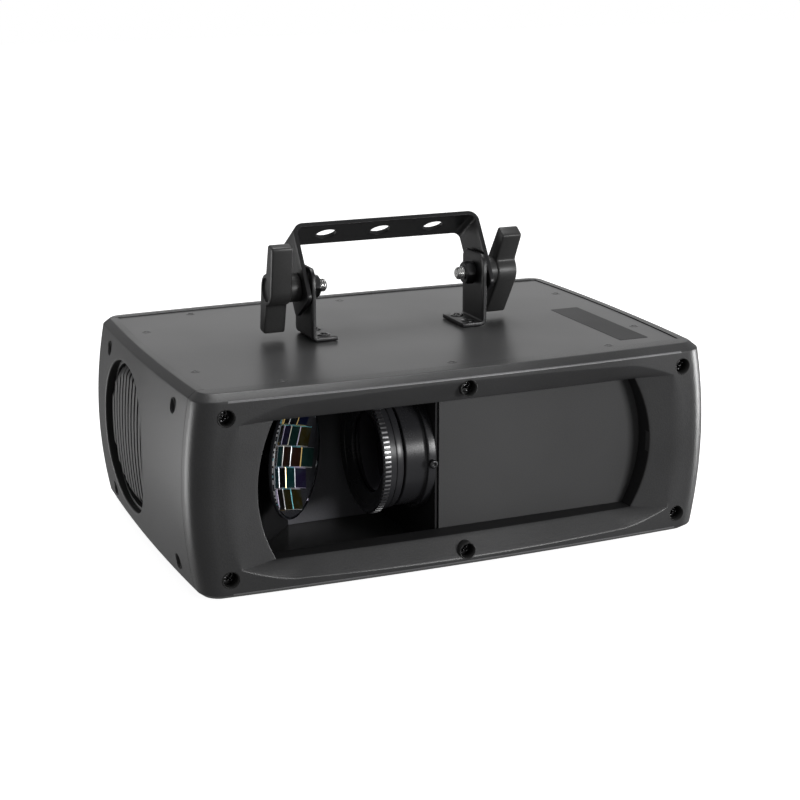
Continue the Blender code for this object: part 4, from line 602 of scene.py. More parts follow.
def coated_glass(name, tint, sheen_colour):
    """Dark coated glass: at a slant the base colour turns to the sheen colour, a painted sheen of the coating.
    """
    f = Finish(name, Specular_IOR_Level=0.8, Coat_Weight=0.6, Coat_Roughness=0.03, IOR=1.6)
    slant = Number(f, f.node("ShaderNodeLayerWeight", {}, {"Blend": 0.35}).outputs["Facing"])
    smear = f.noise(45.0, 3.0)
    f.set(Base_Color=f.mix(f.ramp(slant, 0.1, 0.9), tint, sheen_colour),
          Roughness=f.ramp(smear, 0.4, 0.8) * 0.05 + 0.03,
          Normal=f.bump(smear, 0.01 * MM))
    return f.material


def rubbery(name, colour):
    """Matt rubber with a dusty grain."""
    f = Finish(name, Specular_IOR_Level=0.25)
    fine = f.noise(1800.0, 2.0, 0.7)
    dust = f.noise(40.0, 3.0)
    f.set(Base_Color=f.mix(f.ramp(dust, 0.45, 0.8), colour, shaded(colour, 2.2)),
          Roughness=fine * 0.1 + 0.75,
          Normal=f.bump(fine, 0.05 * MM))
    return f.material


def circuit_board(name, colour):
    """Green board with paler tracks in a cell pattern and pale metal pads."""
    f = Finish(name)
    tracks = f.ramp(f.cells(260.0, "DISTANCE_TO_EDGE"), 0.03, 0.06)
    pads = f.ramp(f.cells(420.0), 0.16, 0.10)
    base = f.mix(tracks, shaded(colour, 1.6), colour)
    f.set(Base_Color=f.mix(pads, base, (0.55, 0.52, 0.40)),
          Roughness=f.noise(300.0) * 0.1 + 0.3, Metallic=pads * 0.8,
          Normal=f.bump(tracks, 0.03 * MM))
    return f.material


def lit_screen(name, colour):
    """Dark display window under a clear coat, faintly smeared."""
    f = Finish(name, Coat_Weight=1.0, Coat_Roughness=0.04)
    smear = f.noise(60.0, 2.0)
    f.set(Base_Color=f.mix(f.ramp(smear, 0.3, 0.8), colour, shaded(colour, 1.8)),
          Roughness=smear * 0.06 + 0.05, Normal=f.bump(smear, 0.01 * MM))
    return f.material


def tile_glass(name):
    """Coated mirror tiles: each face takes its tint or painted highlight from the piece's own attribute."""
    f = Finish(name, Specular_IOR_Level=0.6, Coat_Weight=0.4, Coat_Roughness=0.05)
    tint = f.node("ShaderNodeAttribute", {"attribute_name": "tile_tint"}, {}).outputs["Color"]
    smear = f.noise(220.0, 3.0)
    slant = Number(f, f.node("ShaderNodeLayerWeight", {}, {"Blend": 0.4}).outputs["Facing"])
    f.set(Base_Color=f.mix(f.ramp(smear, 0.45, 0.8) * 0.25, tint, (0.10, 0.16, 0.18)),
          Roughness=smear * 0.10 + 0.06, Metallic=slant * 0.5 + 0.2,
          Normal=f.bump(smear, 0.01 * MM))
    return f.material


# Settings

def colour_setting(name, description, default):
    return FloatVectorProperty(
        name=name, description=description, default=default, subtype="COLOR", min=0.0, max=1.0)


def length_setting(name, description, default, unit="LENGTH"):
    return FloatProperty(name=name, description=description, default=default, unit=unit, min=0.0)


def power_setting(name, description, default):
    return length_setting(name, description, default, "POWER")


class CaseSettings(bpy.types.PropertyGroup):
    shell_colour: colour_setting("Shell colour", "Moulded ends and side panels", (0.040, 0.040, 0.041))
    lid_colour: colour_setting("Lid colour", "Painted sheet lids and rear plate", (0.052, 0.052, 0.053))
    panel_colour: colour_setting("Blank panel colour", "Window's right half", (0.046, 0.046, 0.047))
    wall: length_setting("Wall", "Thickness of the moulded shells", 2.2 * MM)
    crease: length_setting("Funnel crease", "Rounding where the funnel leaves the face", 0.8 * MM)
    side_crease: length_setting("Funnel side rounding", "Extra rounding at the funnel's ends", 3.2 * MM)


class GrilleSettings(bpy.types.PropertyGroup):
    slat_width: length_setting("Slat width", "Width of one upright slat", 5.0 * MM)
    slat_depth: length_setting("Slat depth", "Depth of one slat", 3.0 * MM)
    slat_end: length_setting("Slat end", "Length of the end that bends inwards", 7.5 * MM)
    end_angle: FloatProperty(name="End angle", description="How far the slat ends bend in",
                             default=math.radians(34), subtype="ANGLE")
    colour: colour_setting("Slat colour", "Moulded grille", (0.046, 0.046, 0.047))


class OpticsSettings(bpy.types.PropertyGroup):
    tooth_count: IntProperty(name="Grip teeth", description="Teeth round the focus grip", default=80, min=12)
    tooth_height: length_setting("Tooth height", "How far the teeth stand out", 1.1 * MM)
    tile_width: length_setting("Tile width", "Mirror tile across the row", 12.2 * MM)
    tile_height: length_setting("Tile height", "Mirror tile along the column", 12.2 * MM)
    # The bevel's brightness is a painted highlight from the tiles' colours
    tile_bevel: length_setting("Tile bevel", "Bright bevel round each tile", 0.36 * MM)
    tile_reach: length_setting("Tiled radius", "Furthest tile corner from the dish's centre", 35.8 * MM)
    black: colour_setting("Chamber black", "Matt black of the chamber and lens", (0.010, 0.010, 0.011))


class RiggingSettings(bpy.types.PropertyGroup):
    paint: colour_setting("Yoke paint", "Powder coat of the yoke and brackets", (0.010, 0.010, 0.011))
    knob: colour_setting("Knob colour", "Moulded wing knobs", (0.036, 0.036, 0.036))
    sheet_edge: length_setting("Sheet edge", "Rounding of the bent sheet's edges", 0.35 * MM)
    knob_edge: length_setting("Knob edge", "Rounding of the knobs' edges", 1.2 * MM)


class StageSettings(bpy.types.PropertyGroup):
    floor_colour: colour_setting("Floor colour", "Pale studio floor", (0.62, 0.62, 0.62))
    sky: FloatProperty(name="Upper surround", description="Light from above", default=0.30, min=0.0)
    ground: FloatProperty(name="Lower surround", description="Light from below", default=0.22, min=0.0)
    key_power: power_setting("Left light", "Power of the soft light behind the left side", 4.8)
    top_power: power_setting("Top light", "Power of the soft light overhead", 7.5)
    front_power: power_setting("Front light", "Power of the soft light in front", 7.2)
    back_power: power_setting("Back strip", "Power of the low strip behind the lid", 1.15)
    right_power: power_setting("Right light", "Power of the soft light at the right", 10.0)


FINISHES = {}


def finish_case(case):
    FINISHES.update({
        "shell": moulded("moulded_grey", case.shell_colour, 0.33),
        "lid": painted("painted_sheet", case.lid_colour, 0.36),
        "panel": moulded("panel_grey", case.panel_colour, 0.55, 1300.0, 0.03 * MM),
        "label": moulded("bare_label", (0.010, 0.010, 0.011), 0.50, 900.0, 0.01 * MM),
        "screw_black": metal("blackened_screw", (0.13, 0.13, 0.132), 0.22),
        # Side screw heads made darker than the front screws, as painted shade of their pockets
        "screw_in_painted_shade": metal("sunk_screw", (0.02, 0.02, 0.021), 0.34),
        # Painted highlight: the shell colour made brighter for the face's long edges
        "painted_highlight": moulded("rubbed_edge", shaded(case.shell_colour, 4.5), 0.32, spread=0.25),
        # Near black standing for painted shade: pocket linings, the grilles' gaps and the openings' walls
        "pocket": moulded("pocket_black", (0.006, 0.006, 0.006), 0.6),
        "rubber": rubbery("foot_rubber", (0.014, 0.014, 0.014)),
        "socket": moulded("socket_black", (0.016, 0.016, 0.017), 0.38, 1600.0, 0.02 * MM),
        "steel": metal("zinc_steel", (0.62, 0.62, 0.61), 0.30),
        "alloy": metal("drawn_alloy", (0.74, 0.74, 0.75), 0.36, (1.0, 1.0, 0.05)),
        "board": circuit_board("green_board", (0.015, 0.10, 0.045)),
        "screen": lit_screen("display_glass", (0.012, 0.006, 0.006)),
    })


def finish_optics(optics):
    FINISHES.update({
        # Near black of the chamber's parts, also used as painted shade in the window's tunnel
        "chamber": moulded("chamber_black", shaded(optics.black, 0.8), 0.66, 900.0, 0.03 * MM, 0.2),
        # Back wall: grey, with painted light low down and painted shade higher up
        "back_wall": chamber_sheet("chamber_back", optics.black[:], shaded(optics.black, 20.0)),
        "lens_black": moulded("lens_black", shaded(optics.black, 3.0), 0.27, 1200.0, 0.008 * MM),
        "grip": metal("turned_grip", (0.55, 0.55, 0.56), 0.34),
        "lens_matt": moulded("lens_matt", shaded(optics.black, 1.1), 0.6, 1400.0, 0.02 * MM),
        "lens_glass": coated_glass("coated_lens", (0.003, 0.003, 0.004), (0.014, 0.011, 0.018)),
        "dish": coated_glass("dish_glass", (0.024, 0.025, 0.029), (0.058, 0.058, 0.066)),
        "tiles": tile_glass("mirror_tiles"),
    })


def finish_rigging(rigging):
    FINISHES.update({
        "paint": painted("black_paint", rigging.paint, 0.36),
        "knob": moulded("knob_black", rigging.knob, 0.36, 1100.0, 0.03 * MM),
        "nut": metal("blackened_nut", (0.08, 0.08, 0.082), 0.30),
        "bolt": metal("bright_bolt", (0.80, 0.80, 0.79), 0.22),
    })


def piece(obj, finish, body, slot, *nodes):
    """Give a piece its finish and its body and hide the CAD nodes that it stands for; its slot is not used."""
    obj.data.materials.clear()
    obj.data.materials.append(FINISHES[finish])
    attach(obj, body)
    if nodes:
        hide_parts(*nodes)
    return obj


# Case skins

def barrel(z):
    """How far the face stands out at a height: a parabola, nought at the chamfers."""
    return BARREL * np.maximum(1 - ((z - MIDDLE) / (HALF_HEIGHT - CHAMFER_HEIGHT)) ** 2, 0)


def plan_sizes(mix, z, rim_radius):
    """Half width, half depth, corner radius and shift: mix 0 is the face, 1 the rim and 2 the lid line."""
    chamfer, flange = np.clip(mix, 0, 1), np.clip(mix - 1, 0, 1)
    face = FACE_HALF_WIDTH + barrel(z)
    width = face + (RIM_HALF_WIDTH - face) * chamfer + (LID_LINE_WIDTH - RIM_HALF_WIDTH) * flange
    depth = FACE_HALF_DEPTH + (RIM_HALF_DEPTH - FACE_HALF_DEPTH) * chamfer
    depth = depth + (LID_LINE_DEPTH - RIM_HALF_DEPTH) * flange
    radius = CORNER_RADIUS + (rim_radius - CORNER_RADIUS) * chamfer - rim_radius * flange
    return width, depth, radius, LID_LINE_SHIFT * flange


def plan(sizes, a, b, nx, ny):
    """Rounded rectangle a (width - r) + r nx, b (depth - r) + r ny, pushed out along n by two parabolas."""
    width, depth, radius, shift = sizes
    x = a * (width - radius) + radius * nx
    y = b * (depth - radius) + radius * ny
    return x + nx * BULGE_SIDE * (1 - (y / depth) ** 2), y + ny * BULGE_FRONT * (1 - (x / width) ** 2) + shift


def rim_profile(sign):
    """Mix and height from the lid line down to the face: flange, rounded edge, chamfer, rounded edge."""
    high, low = HALF_HEIGHT, HALF_HEIGHT - CHAMFER_HEIGHT
    tenth = CHAMFER_HEIGHT / 10
    points = np.concatenate([
        [(2.0, high), (1.5, high)], bezier((1.12, high), (1.0, high), (0.9, high - tenth), 5),
        bezier((0.1, low + tenth), (0.0, low), (0.0, low - EDGE_DROP), 5)])
    return points[:, 0], MIDDLE + sign * points[:, 1]


def end_skin(surface, sign, parting, rim_radius):
    """Corners and rim strips of the front (sign -1) or rear (sign 1) end, as plan curves at each height."""
    upper, lower = rim_profile(1), rim_profile(-1)
    face_z = np.linspace(MIDDLE + FACE_HALF_HEIGHT, MIDDLE - FACE_HALF_HEIGHT, SIDE_COUNT)[1:-1]
    mix = np.concatenate([upper[0], np.zeros(len(face_z)), lower[0][::-1]])[:, None]
    z = np.concatenate([upper[1], face_z, lower[1][::-1]])[:, None]
    sizes = plan_sizes(mix, z, rim_radius)
    start = (parting - sizes[3]) / (sizes[1] - sizes[2])
    along = start + (sign - start) * np.linspace(0, 1, 5)[None]
    angle = np.linspace(0, math.pi / 2, 13)[None, 1:]
    b = np.concatenate([along, np.full((len(z), angle.shape[1]), float(sign))], axis=1)
    nx = np.concatenate([np.ones((1, along.shape[1])), np.cos(angle)], axis=1)
    ny = np.concatenate([np.zeros((1, along.shape[1])), sign * np.sin(angle)], axis=1)
    corner = points_of(*plan(sizes, 1.0, b, nx, ny), z)
    surface.grid(corner)
    surface.grid(corner * (-1, 1, 1))
    t = np.linspace(-1, 1, TOP_COUNT)[None]
    for mix, z in (upper, lower):
        sizes = plan_sizes(mix[:, None], z[:, None], rim_radius)
        surface.grid(points_of(*plan(sizes, t, float(sign), 0.0, float(sign)), z[:, None]))


def end_face(x, z, sign):
    """Depth of the front or rear face: a parabola across the width at each height."""
    return sign * (FACE_HALF_DEPTH + BULGE_FRONT * (1 - (x / (FACE_HALF_WIDTH + barrel(z))) ** 2))


def ring_of(top, side, top_count=TOP_COUNT, side_count=SIDE_COUNT):
    """A loop from one rule for the top and bottom edges and one for the two ends, t from -1 to 1."""
    t = np.linspace(-1, 1, top_count)[:-1]
    s = np.linspace(-1, 1, side_count)[:-1]
    return np.concatenate([top(t, 1), side(-s, 1), top(-t, -1), side(s, -1)])


def even(value):
    """A rule with the same value all along an edge."""
    return lambda t: value


def border(half_width, half_height, *counts):
    """A loop about the origin, its ends half_width(t) out and its edges half_height(t), t from -1 to 1."""
    return ring_of(lambda t, sign: points_of(t * half_width(1.0), sign * half_height(t)),
                   lambda t, sign: points_of(sign * half_width(t), t * half_height(1.0)), *counts)


def face_border():
    """The loop where the face meets its chamfers and corner arcs, in x and z."""
    def half_width(t):
        return FACE_HALF_WIDTH + barrel(MIDDLE + t * FACE_HALF_HEIGHT) - CORNER_RADIUS

    return border(half_width, even(FACE_HALF_HEIGHT)) + (0, MIDDLE)


def recess_height(x):
    """Upper edge of the funnel above the middle: a flat parabola, then a power curve down to the tip."""
    level = RECESS_MID_HEIGHT - RECESS_FLAT_DROP
    along = np.clip((x - RECESS_FLAT_HALF) / (RECESS_HALF_WIDTH - RECESS_FLAT_HALF), 0, 1)
    flat = RECESS_MID_HEIGHT - RECESS_FLAT_DROP * (np.minimum(x, RECESS_FLAT_HALF) / RECESS_FLAT_HALF) ** 2
    return flat - (level - RECESS_TIP_HEIGHT) * along ** 1.4


def recess_border():
    """The funnel's outer edge, in x and z: its ends are parabolas."""
    return border(lambda t: RECESS_HALF_WIDTH + RECESS_SIDE_BULGE * (1 - t * t),
                  lambda t: recess_height(abs(t) * RECESS_HALF_WIDTH)) + (0, MIDDLE)


def window_border():
    """The window's edge: straight above and below, arcs at the ends, bulged towards the front."""
    edge = border(lambda t: WINDOW_HALF_WIDTH + WINDOW_SIDE_BULGE * (1 - t * t), even(WINDOW_HALF_HEIGHT))
    bow = ring_of(lambda t, sign: 1 - t * t, lambda t, sign: 1 - t * t)
    return points_of(edge[:, 0], WINDOW_Y - WINDOW_BULGE * bow, MIDDLE + edge[:, 1])


def lay_on_end(flat, sign):
    """Points of x and z laid on the front or rear face."""
    x, z = flat[..., 0], flat[..., 1]
    return points_of(x, end_face(x, z, sign), z)


def moved_to(points, y):
    """The same points, all at one depth."""
    return points * (1, 0, 1) + (0, y, 0)


def front_surface(case):
    """Face from its border to the funnel's edge, the funnel's slope and the tunnel, with rounded creases."""
    surface = Surface()
    end_skin(surface, -1, PARTING_FRONT, RIM_RADIUS_FRONT)
    outer, edge, window = face_border(), recess_border(), window_border()
    ends = ring_of(lambda t, s: np.zeros(len(t)), lambda t, s: 1 - t ** 4)[:, None]
    crease = case.crease + case.side_crease * ends
    near = edge + unit(outer - edge) * crease
    corner = lay_on_end(edge, -1)
    down = corner + unit(window - corner) * crease
    lip = window + unit(corner - window) * case.crease
    inward = window + (0, case.crease, 0)
    for strip in (lay_on_end(span(outer, near, 12), -1), bezier(lay_on_end(near, -1), corner, down, 7),
                  span(down, lip, 9), bezier(lip, window, inward, 5),
                  span(inward, moved_to(inward, TUNNEL_END_Y), 4)):
        surface.grid(strip, wrap=True)
    return surface


def front_screw_places():
    """Points on the front face over the six pockets."""
    flat = [(sx * SCREW_X, MIDDLE + sz * SCREW_Z) for sz in (1, -1) for sx in (-1, 1)]
    flat += [(0.0, MIDDLE + SCREW_MID_Z), (0.0, MIDDLE - SCREW_MID_Z)]
    return lay_on_end(np.array(flat), -1)


def side_screw_places(sign):
    """Points on the side face over the four pockets."""
    return [np.array((sign * side_face(y, z), y, z))
            for y in (-SIDE_SCREW_Y, SIDE_SCREW_Y) for z in (MIDDLE - SIDE_SCREW_Z, MIDDLE + SIDE_SCREW_Z)]


def pocketed(name, surface, places, inward, radius, depth, wall):
    """A moulded skin with screw pockets cut through it, and the pockets' linings as thin cups."""
    obj = surface.build(name + "_skin", (0.0, 0.0, MIDDLE), SHELL_SHARP)
    thicken(obj, wall)
    settle(obj, SHELL_SHARP)
    tool, cups = Surface(), Surface()
    inner = radius - CUP_GAP
    cup = eased([(CUP_START, inner), (depth, inner), (depth, 0.0)], CUP_ROUND)
    for place in places:
        tool.tube(turned([(-CUTTER_REACH, radius), (CUTTER_REACH, radius)], place, inward, 48))
        cups.grid(turned(cup, place, inward, 48), wrap=True)
    carve(obj, tool, SHELL_SHARP)
    return obj, cups


def build_front_bezel(case):
    obj, cups = pocketed("front_bezel", front_surface(case), front_screw_places(), (0, 1, 0), POCKET_RADIUS,
                         POCKET_DEPTH, case.wall)
    piece(obj, "shell", "case", "case", "front_bezel")
    finish_front_faces(obj)
    # The pocket linings are near black as painted shade of the deep pockets
    lining = cups.build("front_screw_pockets")
    thicken(lining, CUP_WALL)
    piece(lining, "pocket", "case", "case")


def face_values(obj, what):
    """Centres or normals of a piece's faces, as three arrays."""
    values = np.empty(len(obj.data.polygons) * 3)
    obj.data.polygons.foreach_get(what, values)
    return values.reshape(-1, 3).T


def refinish(obj, *choices):
    """Give the faces of each (mask, finish) another finish than the piece's own."""
    index = np.zeros(len(obj.data.polygons), np.int32)
    for mask, finish in choices:
        index[mask] = len(obj.data.materials)
        obj.data.materials.append(FINISHES[finish])
    obj.data.polygons.foreach_set("material_index", index)


def finish_front_faces(obj):
    """The tunnel behind the window's edge gets near black as painted shade; the face's long edges get a
    brighter painted highlight line.
    """
    x, y, z = face_values(obj, "center")
    height = abs(z - MIDDLE)
    edge_y = WINDOW_Y - WINDOW_BULGE * (1 - (x / WINDOW_HALF_WIDTH) ** 2)
    across = WINDOW_HALF_WIDTH + WINDOW_SIDE_BULGE + WINDOW_MARGIN
    within = (abs(x) < across) & (height < WINDOW_HALF_HEIGHT + WINDOW_MARGIN)
    low = HALF_HEIGHT - CHAMFER_HEIGHT
    edge = (abs(height - low) < EDGE_DROP) & (y < -FACE_HALF_DEPTH)
    edge = edge & (abs(x) < RIM_HALF_WIDTH - CORNER_RADIUS)
    # Painted highlight on the face's long edges, and painted shade in the window's tunnel
    refinish(obj, (edge, "painted_highlight"), (within & (y > edge_y + 0.2 * MM), "chamber"))


def side_face(y, z):
    """Side face: the barrel upright and a parabola from front to rear."""
    return FACE_HALF_WIDTH + barrel(z) + BULGE_SIDE * (1 - (y / FACE_HALF_DEPTH) ** 2)


def squircle(angle, half):
    """Polar radius of |a|^n + |b|^n = half^n."""
    power = GRILLE_POWER
    return half / (abs(np.cos(angle)) ** power + abs(np.sin(angle)) ** power) ** (1 / power)


def side_surface(sign):
    """Side panel: face between its border and the grille's opening, rim strips and a rounded lip."""
    surface = Surface()
    first, last = PARTING_FRONT + GAP, PARTING_REAR - GAP
    outer = border(even((last - first) / 2), even(FACE_HALF_HEIGHT), PANEL_COUNT, PANEL_SIDE_COUNT)
    outer = outer + ((first + last) / 2, MIDDLE)
    centre = np.array((GRILLE_Y, MIDDLE))
    angle = np.arctan2(outer[:, 1] - centre[1], outer[:, 0] - centre[0])
    direction = points_of(np.cos(angle), np.sin(angle))
    edge = centre + direction * squircle(angle, GRILLE_HALF)[:, None]
    lip = edge + direction * GRILLE_LIP

    def lay(flat):
        return points_of(side_face(flat[..., 0], flat[..., 1]), flat[..., 0], flat[..., 1])

    inward = lay(edge) - (GRILLE_LIP, 0, 0)
    for strip in (lay(span(outer, lip, 18)), bezier(lay(lip), lay(edge), inward, 6),
                  span(inward, inward - (3 * GRILLE_LIP, 0, 0), 4)):
        surface.grid(strip, wrap=True)
    y = np.linspace(first, last, PANEL_COUNT)[None]
    for side_sign in (1, -1):
        mix, z = rim_profile(side_sign)
        width, depth, _, shift = plan_sizes(mix[:, None], z[:, None], RIM_RADIUS_REAR)
        surface.grid(points_of(width + BULGE_SIDE * (1 - ((y - shift) / depth) ** 2), y, z[:, None]))
    surface.points = [points * (sign, 1, 1) for points in surface.points]
    return surface


def build_side_panels(case):
    """Both panels, their openings' walls near black as painted shade, and the linings of their pockets."""
    for name, sign in SIDES:
        obj, cups = pocketed(name + "_side", side_surface(sign), side_screw_places(sign), (-sign, 0, 0),
                             SIDE_POCKET_RADIUS, SIDE_POCKET_DEPTH, case.wall)
        piece(obj, "shell", "case", "case", name + "_side_panel")
        # The opening's wall gets near black as painted shade
        x, y, z = face_values(obj, "center")
        around = squircle(np.arctan2(z - MIDDLE, y - GRILLE_Y), GRILLE_HALF) + 0.5 * MM
        opening = np.hypot(y - GRILLE_Y, z - MIDDLE) < around
        refinish(obj, (opening & (abs(x) < side_face(y, z) - 0.7 * MM), "pocket"))
        # Pocket linings near black as painted shade
        lining = cups.build(name + "_side_pockets")
        thicken(lining, CUP_WALL)
        piece(lining, "pocket", "case", "black")


def build_rear_frame(case):
    """Rear end: the face from its border to a rectangular opening, and the collar round it."""
    surface = Surface()
    end_skin(surface, 1, PARTING_REAR, RIM_RADIUS_REAR)
    outer = face_border()
    edge = border(even(REAR_HALF_WIDTH), even(REAR_HALF_HEIGHT)) + (0, MIDDLE)
    near = edge + unit(outer - edge) * REAR_ROUND
    inward = lay_on_end(edge, 1) - (0, REAR_ROUND, 0)
    for strip in (lay_on_end(span(outer, near, 10), 1),
                  bezier(lay_on_end(near, 1), lay_on_end(edge, 1), inward, 5),
                  span(inward, moved_to(inward, REAR_FACE_Y + 0.1 * MM), 4)):
        surface.grid(strip, wrap=True)
    obj = surface.build("rear_frame_skin", (0.0, 0.0, MIDDLE), SHELL_SHARP)
    thicken(obj, case.wall)
    piece(obj, "shell", "case", "case", "rear_frame")


def build_lids():
    """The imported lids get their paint; a bare label field and four rubber feet are added."""
    for node in ("top_plate", "base_plate"):
        dress(node, "lid")
    (left, right), (front, back) = LABEL_X, LABEL_Y
    outline = eased([(left, front), (right, front), (right, back), (left, back)], 1.2 * MM, 6, True)
    label = Surface()
    label.tube(np.stack([points_of(outline[:, 0], outline[:, 1], z) for z in LABEL_Z]))
    piece(label.build("bare_label_field"), "label", "case", "sheet")
    profile = eased(FOOT_PROFILE, 0.35 * MM)
    for i, (sx, sy) in enumerate([(-1, -1), (1, -1), (1, 1), (-1, 1)], 1):
        foot = lathed("rubber_foot_form_%d" % i, profile, (sx * FOOT_X, sy * FOOT_Y, 0.0), (0, 0, 1), 48)
        piece(foot, "rubber", "case", "rubber", "rubber_foot_%d" % i)


def dress(node, finish):
    """Give a carried-over CAD node its procedural material."""
    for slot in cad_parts[node].material_slots:
        slot.material = FINISHES[finish]


# Screws

def screw_head(surface, place, direction, head, turn=0.0):
    """Cross-recess head: a dome of radius r and height h less a cross of two slots that fades at its ends."""
    radius, height, recess = head
    side, up, axis = frame_about(direction)
    r = np.concatenate([np.linspace(0, 0.7, 13), [0.8, 0.9, 0.96, 0.99, 1.0]])[:, None] * radius
    angle = np.linspace(0, 2 * math.pi, 64, endpoint=False)[None]
    arm = np.minimum(abs(r * np.cos(angle + turn)), abs(r * np.sin(angle + turn)))
    slot = 1 / (1 + (arm / (0.13 * radius)) ** 6) * (1 / (1 + (r / (0.56 * radius)) ** 14))
    lift = height * (1 - (r / radius) ** 2 * 0.55) - recess * slot
    lift = lift * np.where(r > 0.985 * radius, 0.6, 1.0)
    flat = np.array(place) + (r * np.cos(angle))[..., None] * side + (r * np.sin(angle))[..., None] * up
    skirt = flat[-1:] - 1.2 * MM * axis
    surface.grid(np.concatenate([flat + lift[..., None] * axis, skirt]), wrap=True)
    surface.outline(skirt[0])


def build_screws():
    """One mesh for each kind of small screw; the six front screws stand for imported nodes."""
    for i, place in enumerate(front_screw_places()):
        surface = Surface()
        screw_head(surface, place + (0, POCKET_DEPTH - 1.6 * MM, 0), (0, -1, 0), FRONT_HEAD, 0.35 + i)
        obj = surface.build("front_screw_head_%d" % (i + 1))
        piece(obj, "screw_black", "case", "black", "front_screw_%d" % (i + 1))
    sides, lid, base, foot = Surface(), Surface(), Surface(), Surface()
    for sign in (-1, 1):
        for i, place in enumerate(side_screw_places(sign)):
            sunk = place - (sign * (SIDE_POCKET_DEPTH - 1.4 * MM), 0, 0)
            screw_head(sides, sunk, (sign, 0, 0), SIDE_HEAD, 0.6 * i)
        for side in (-1, 1):
            place = (sign * BRACKET_SCREW_X, side * BRACKET_SCREW_Y, BRACKET_SCREW_Z)
            screw_head(foot, place, (0, 0, 1), BRACKET_HEAD, 0.3 + side)
    places = [(sx * LID_SCREW_END[0], sy * LID_SCREW_END[1]) for sx in (-1, 1) for sy in (-1, 1)]
    places += [(sx * LID_SCREW_EDGE[0], sy * LID_SCREW_EDGE[1]) for sx in (-1, 0, 1) for sy in (-1, 1)]
    for i, (x, y) in enumerate(places):
        screw_head(lid, (x, y, LID_TOP - 0.02 * MM), (0, 0, 1), LID_HEAD, 0.5 * i)
        screw_head(base, (x, y, FOOT_HEIGHT + 0.52 * MM), (0, 0, -1), LID_HEAD, 0.4 * i)
    for name, surface, finish, slot in (
            ("side_screws", sides, "screw_in_painted_shade", "black"), ("lid_screws", lid, "lid", "sheet"),
            ("base_screws", base, "lid", "sheet"), ("bracket_screws", foot, "screw_black", "black")):
        piece(surface.build(name), finish, "case", slot)


# Grilles

def slat_rings(sign, y, grille):
    """A rounded section carried along an upright path whose ends turn in along an arc."""
    reach = GRILLE_HALF * (1 - abs(y / GRILLE_HALF) ** GRILLE_POWER) ** (1 / GRILLE_POWER) - SLAT_CLEARANCE
    straight = reach - grille.slat_end
    z = np.linspace(-straight, straight, 25)
    body = points_of(side_face(GRILLE_Y + y, MIDDLE + z) - GRILLE_RECESS, z)
    angle = grille.end_angle
    bend = np.linspace(0, angle, 7)[1:]
    down = SLAT_BEND * points_of(np.cos(bend) - 1, np.sin(bend))
    rest = grille.slat_end - SLAT_BEND * math.sin(angle)
    tip = down[-1] + np.array((-math.tan(angle), 1.0)) * max(rest, 1.0 * MM)
    end = np.concatenate([down, [tip]])
    path = np.concatenate([(body[0] + end * (1, -1))[::-1], body, body[-1] + end])
    along = unit(np.gradient(path, axis=0))
    normal = points_of(along[:, 1], -along[:, 0])
    half, depth = grille.slat_width / 2, grille.slat_depth
    section = eased([(-half, 0), (half, 0), (half * 0.7, -depth), (-half * 0.7, -depth)], 0.9 * MM, 5, True)
    place = path[:, None] + normal[:, None] * section[None, :, 1:2]
    return points_of(sign * place[..., 0], GRILLE_Y + y + section[:, 0], MIDDLE + place[..., 1])


def build_grilles(grille):
    """Slats in a ring of the opening's outline; faces that don't face outwards get near black as painted shade.
    """
    FINISHES["slat"] = moulded("slat_grey", grille.colour, 0.48)
    angle = np.linspace(0, 2 * math.pi, 96, endpoint=False)
    inner, outer = (squircle(angle, GRILLE_HALF + margin) for margin in RING_MARGINS)
    back, front = RING_X, RING_X + RING_THICKNESS
    section = ((inner, back), (outer, back), (outer, front), (inner, front), (inner, back))
    for name, sign in SIDES:
        surface = Surface()
        for i in range(SLAT_COUNT):
            surface.tube(slat_rings(sign, (i - (SLAT_COUNT - 1) / 2) * SLAT_PITCH, grille))
        surface.grid(np.stack([
            points_of(sign * x, GRILLE_Y + radius * np.cos(angle), MIDDLE + radius * np.sin(angle))
            for radius, x in section]), wrap=True)
        obj = surface.build(name + "_grille_slats", None, 40.0)
        piece(obj, "slat", "case", "black", name + "_grille")
        # Painted shade on the slats' sides and backs and on the ring's walls
        refinish(obj, (abs(face_values(obj, "normal")[0]) < 0.6, "pocket"))


# Optics

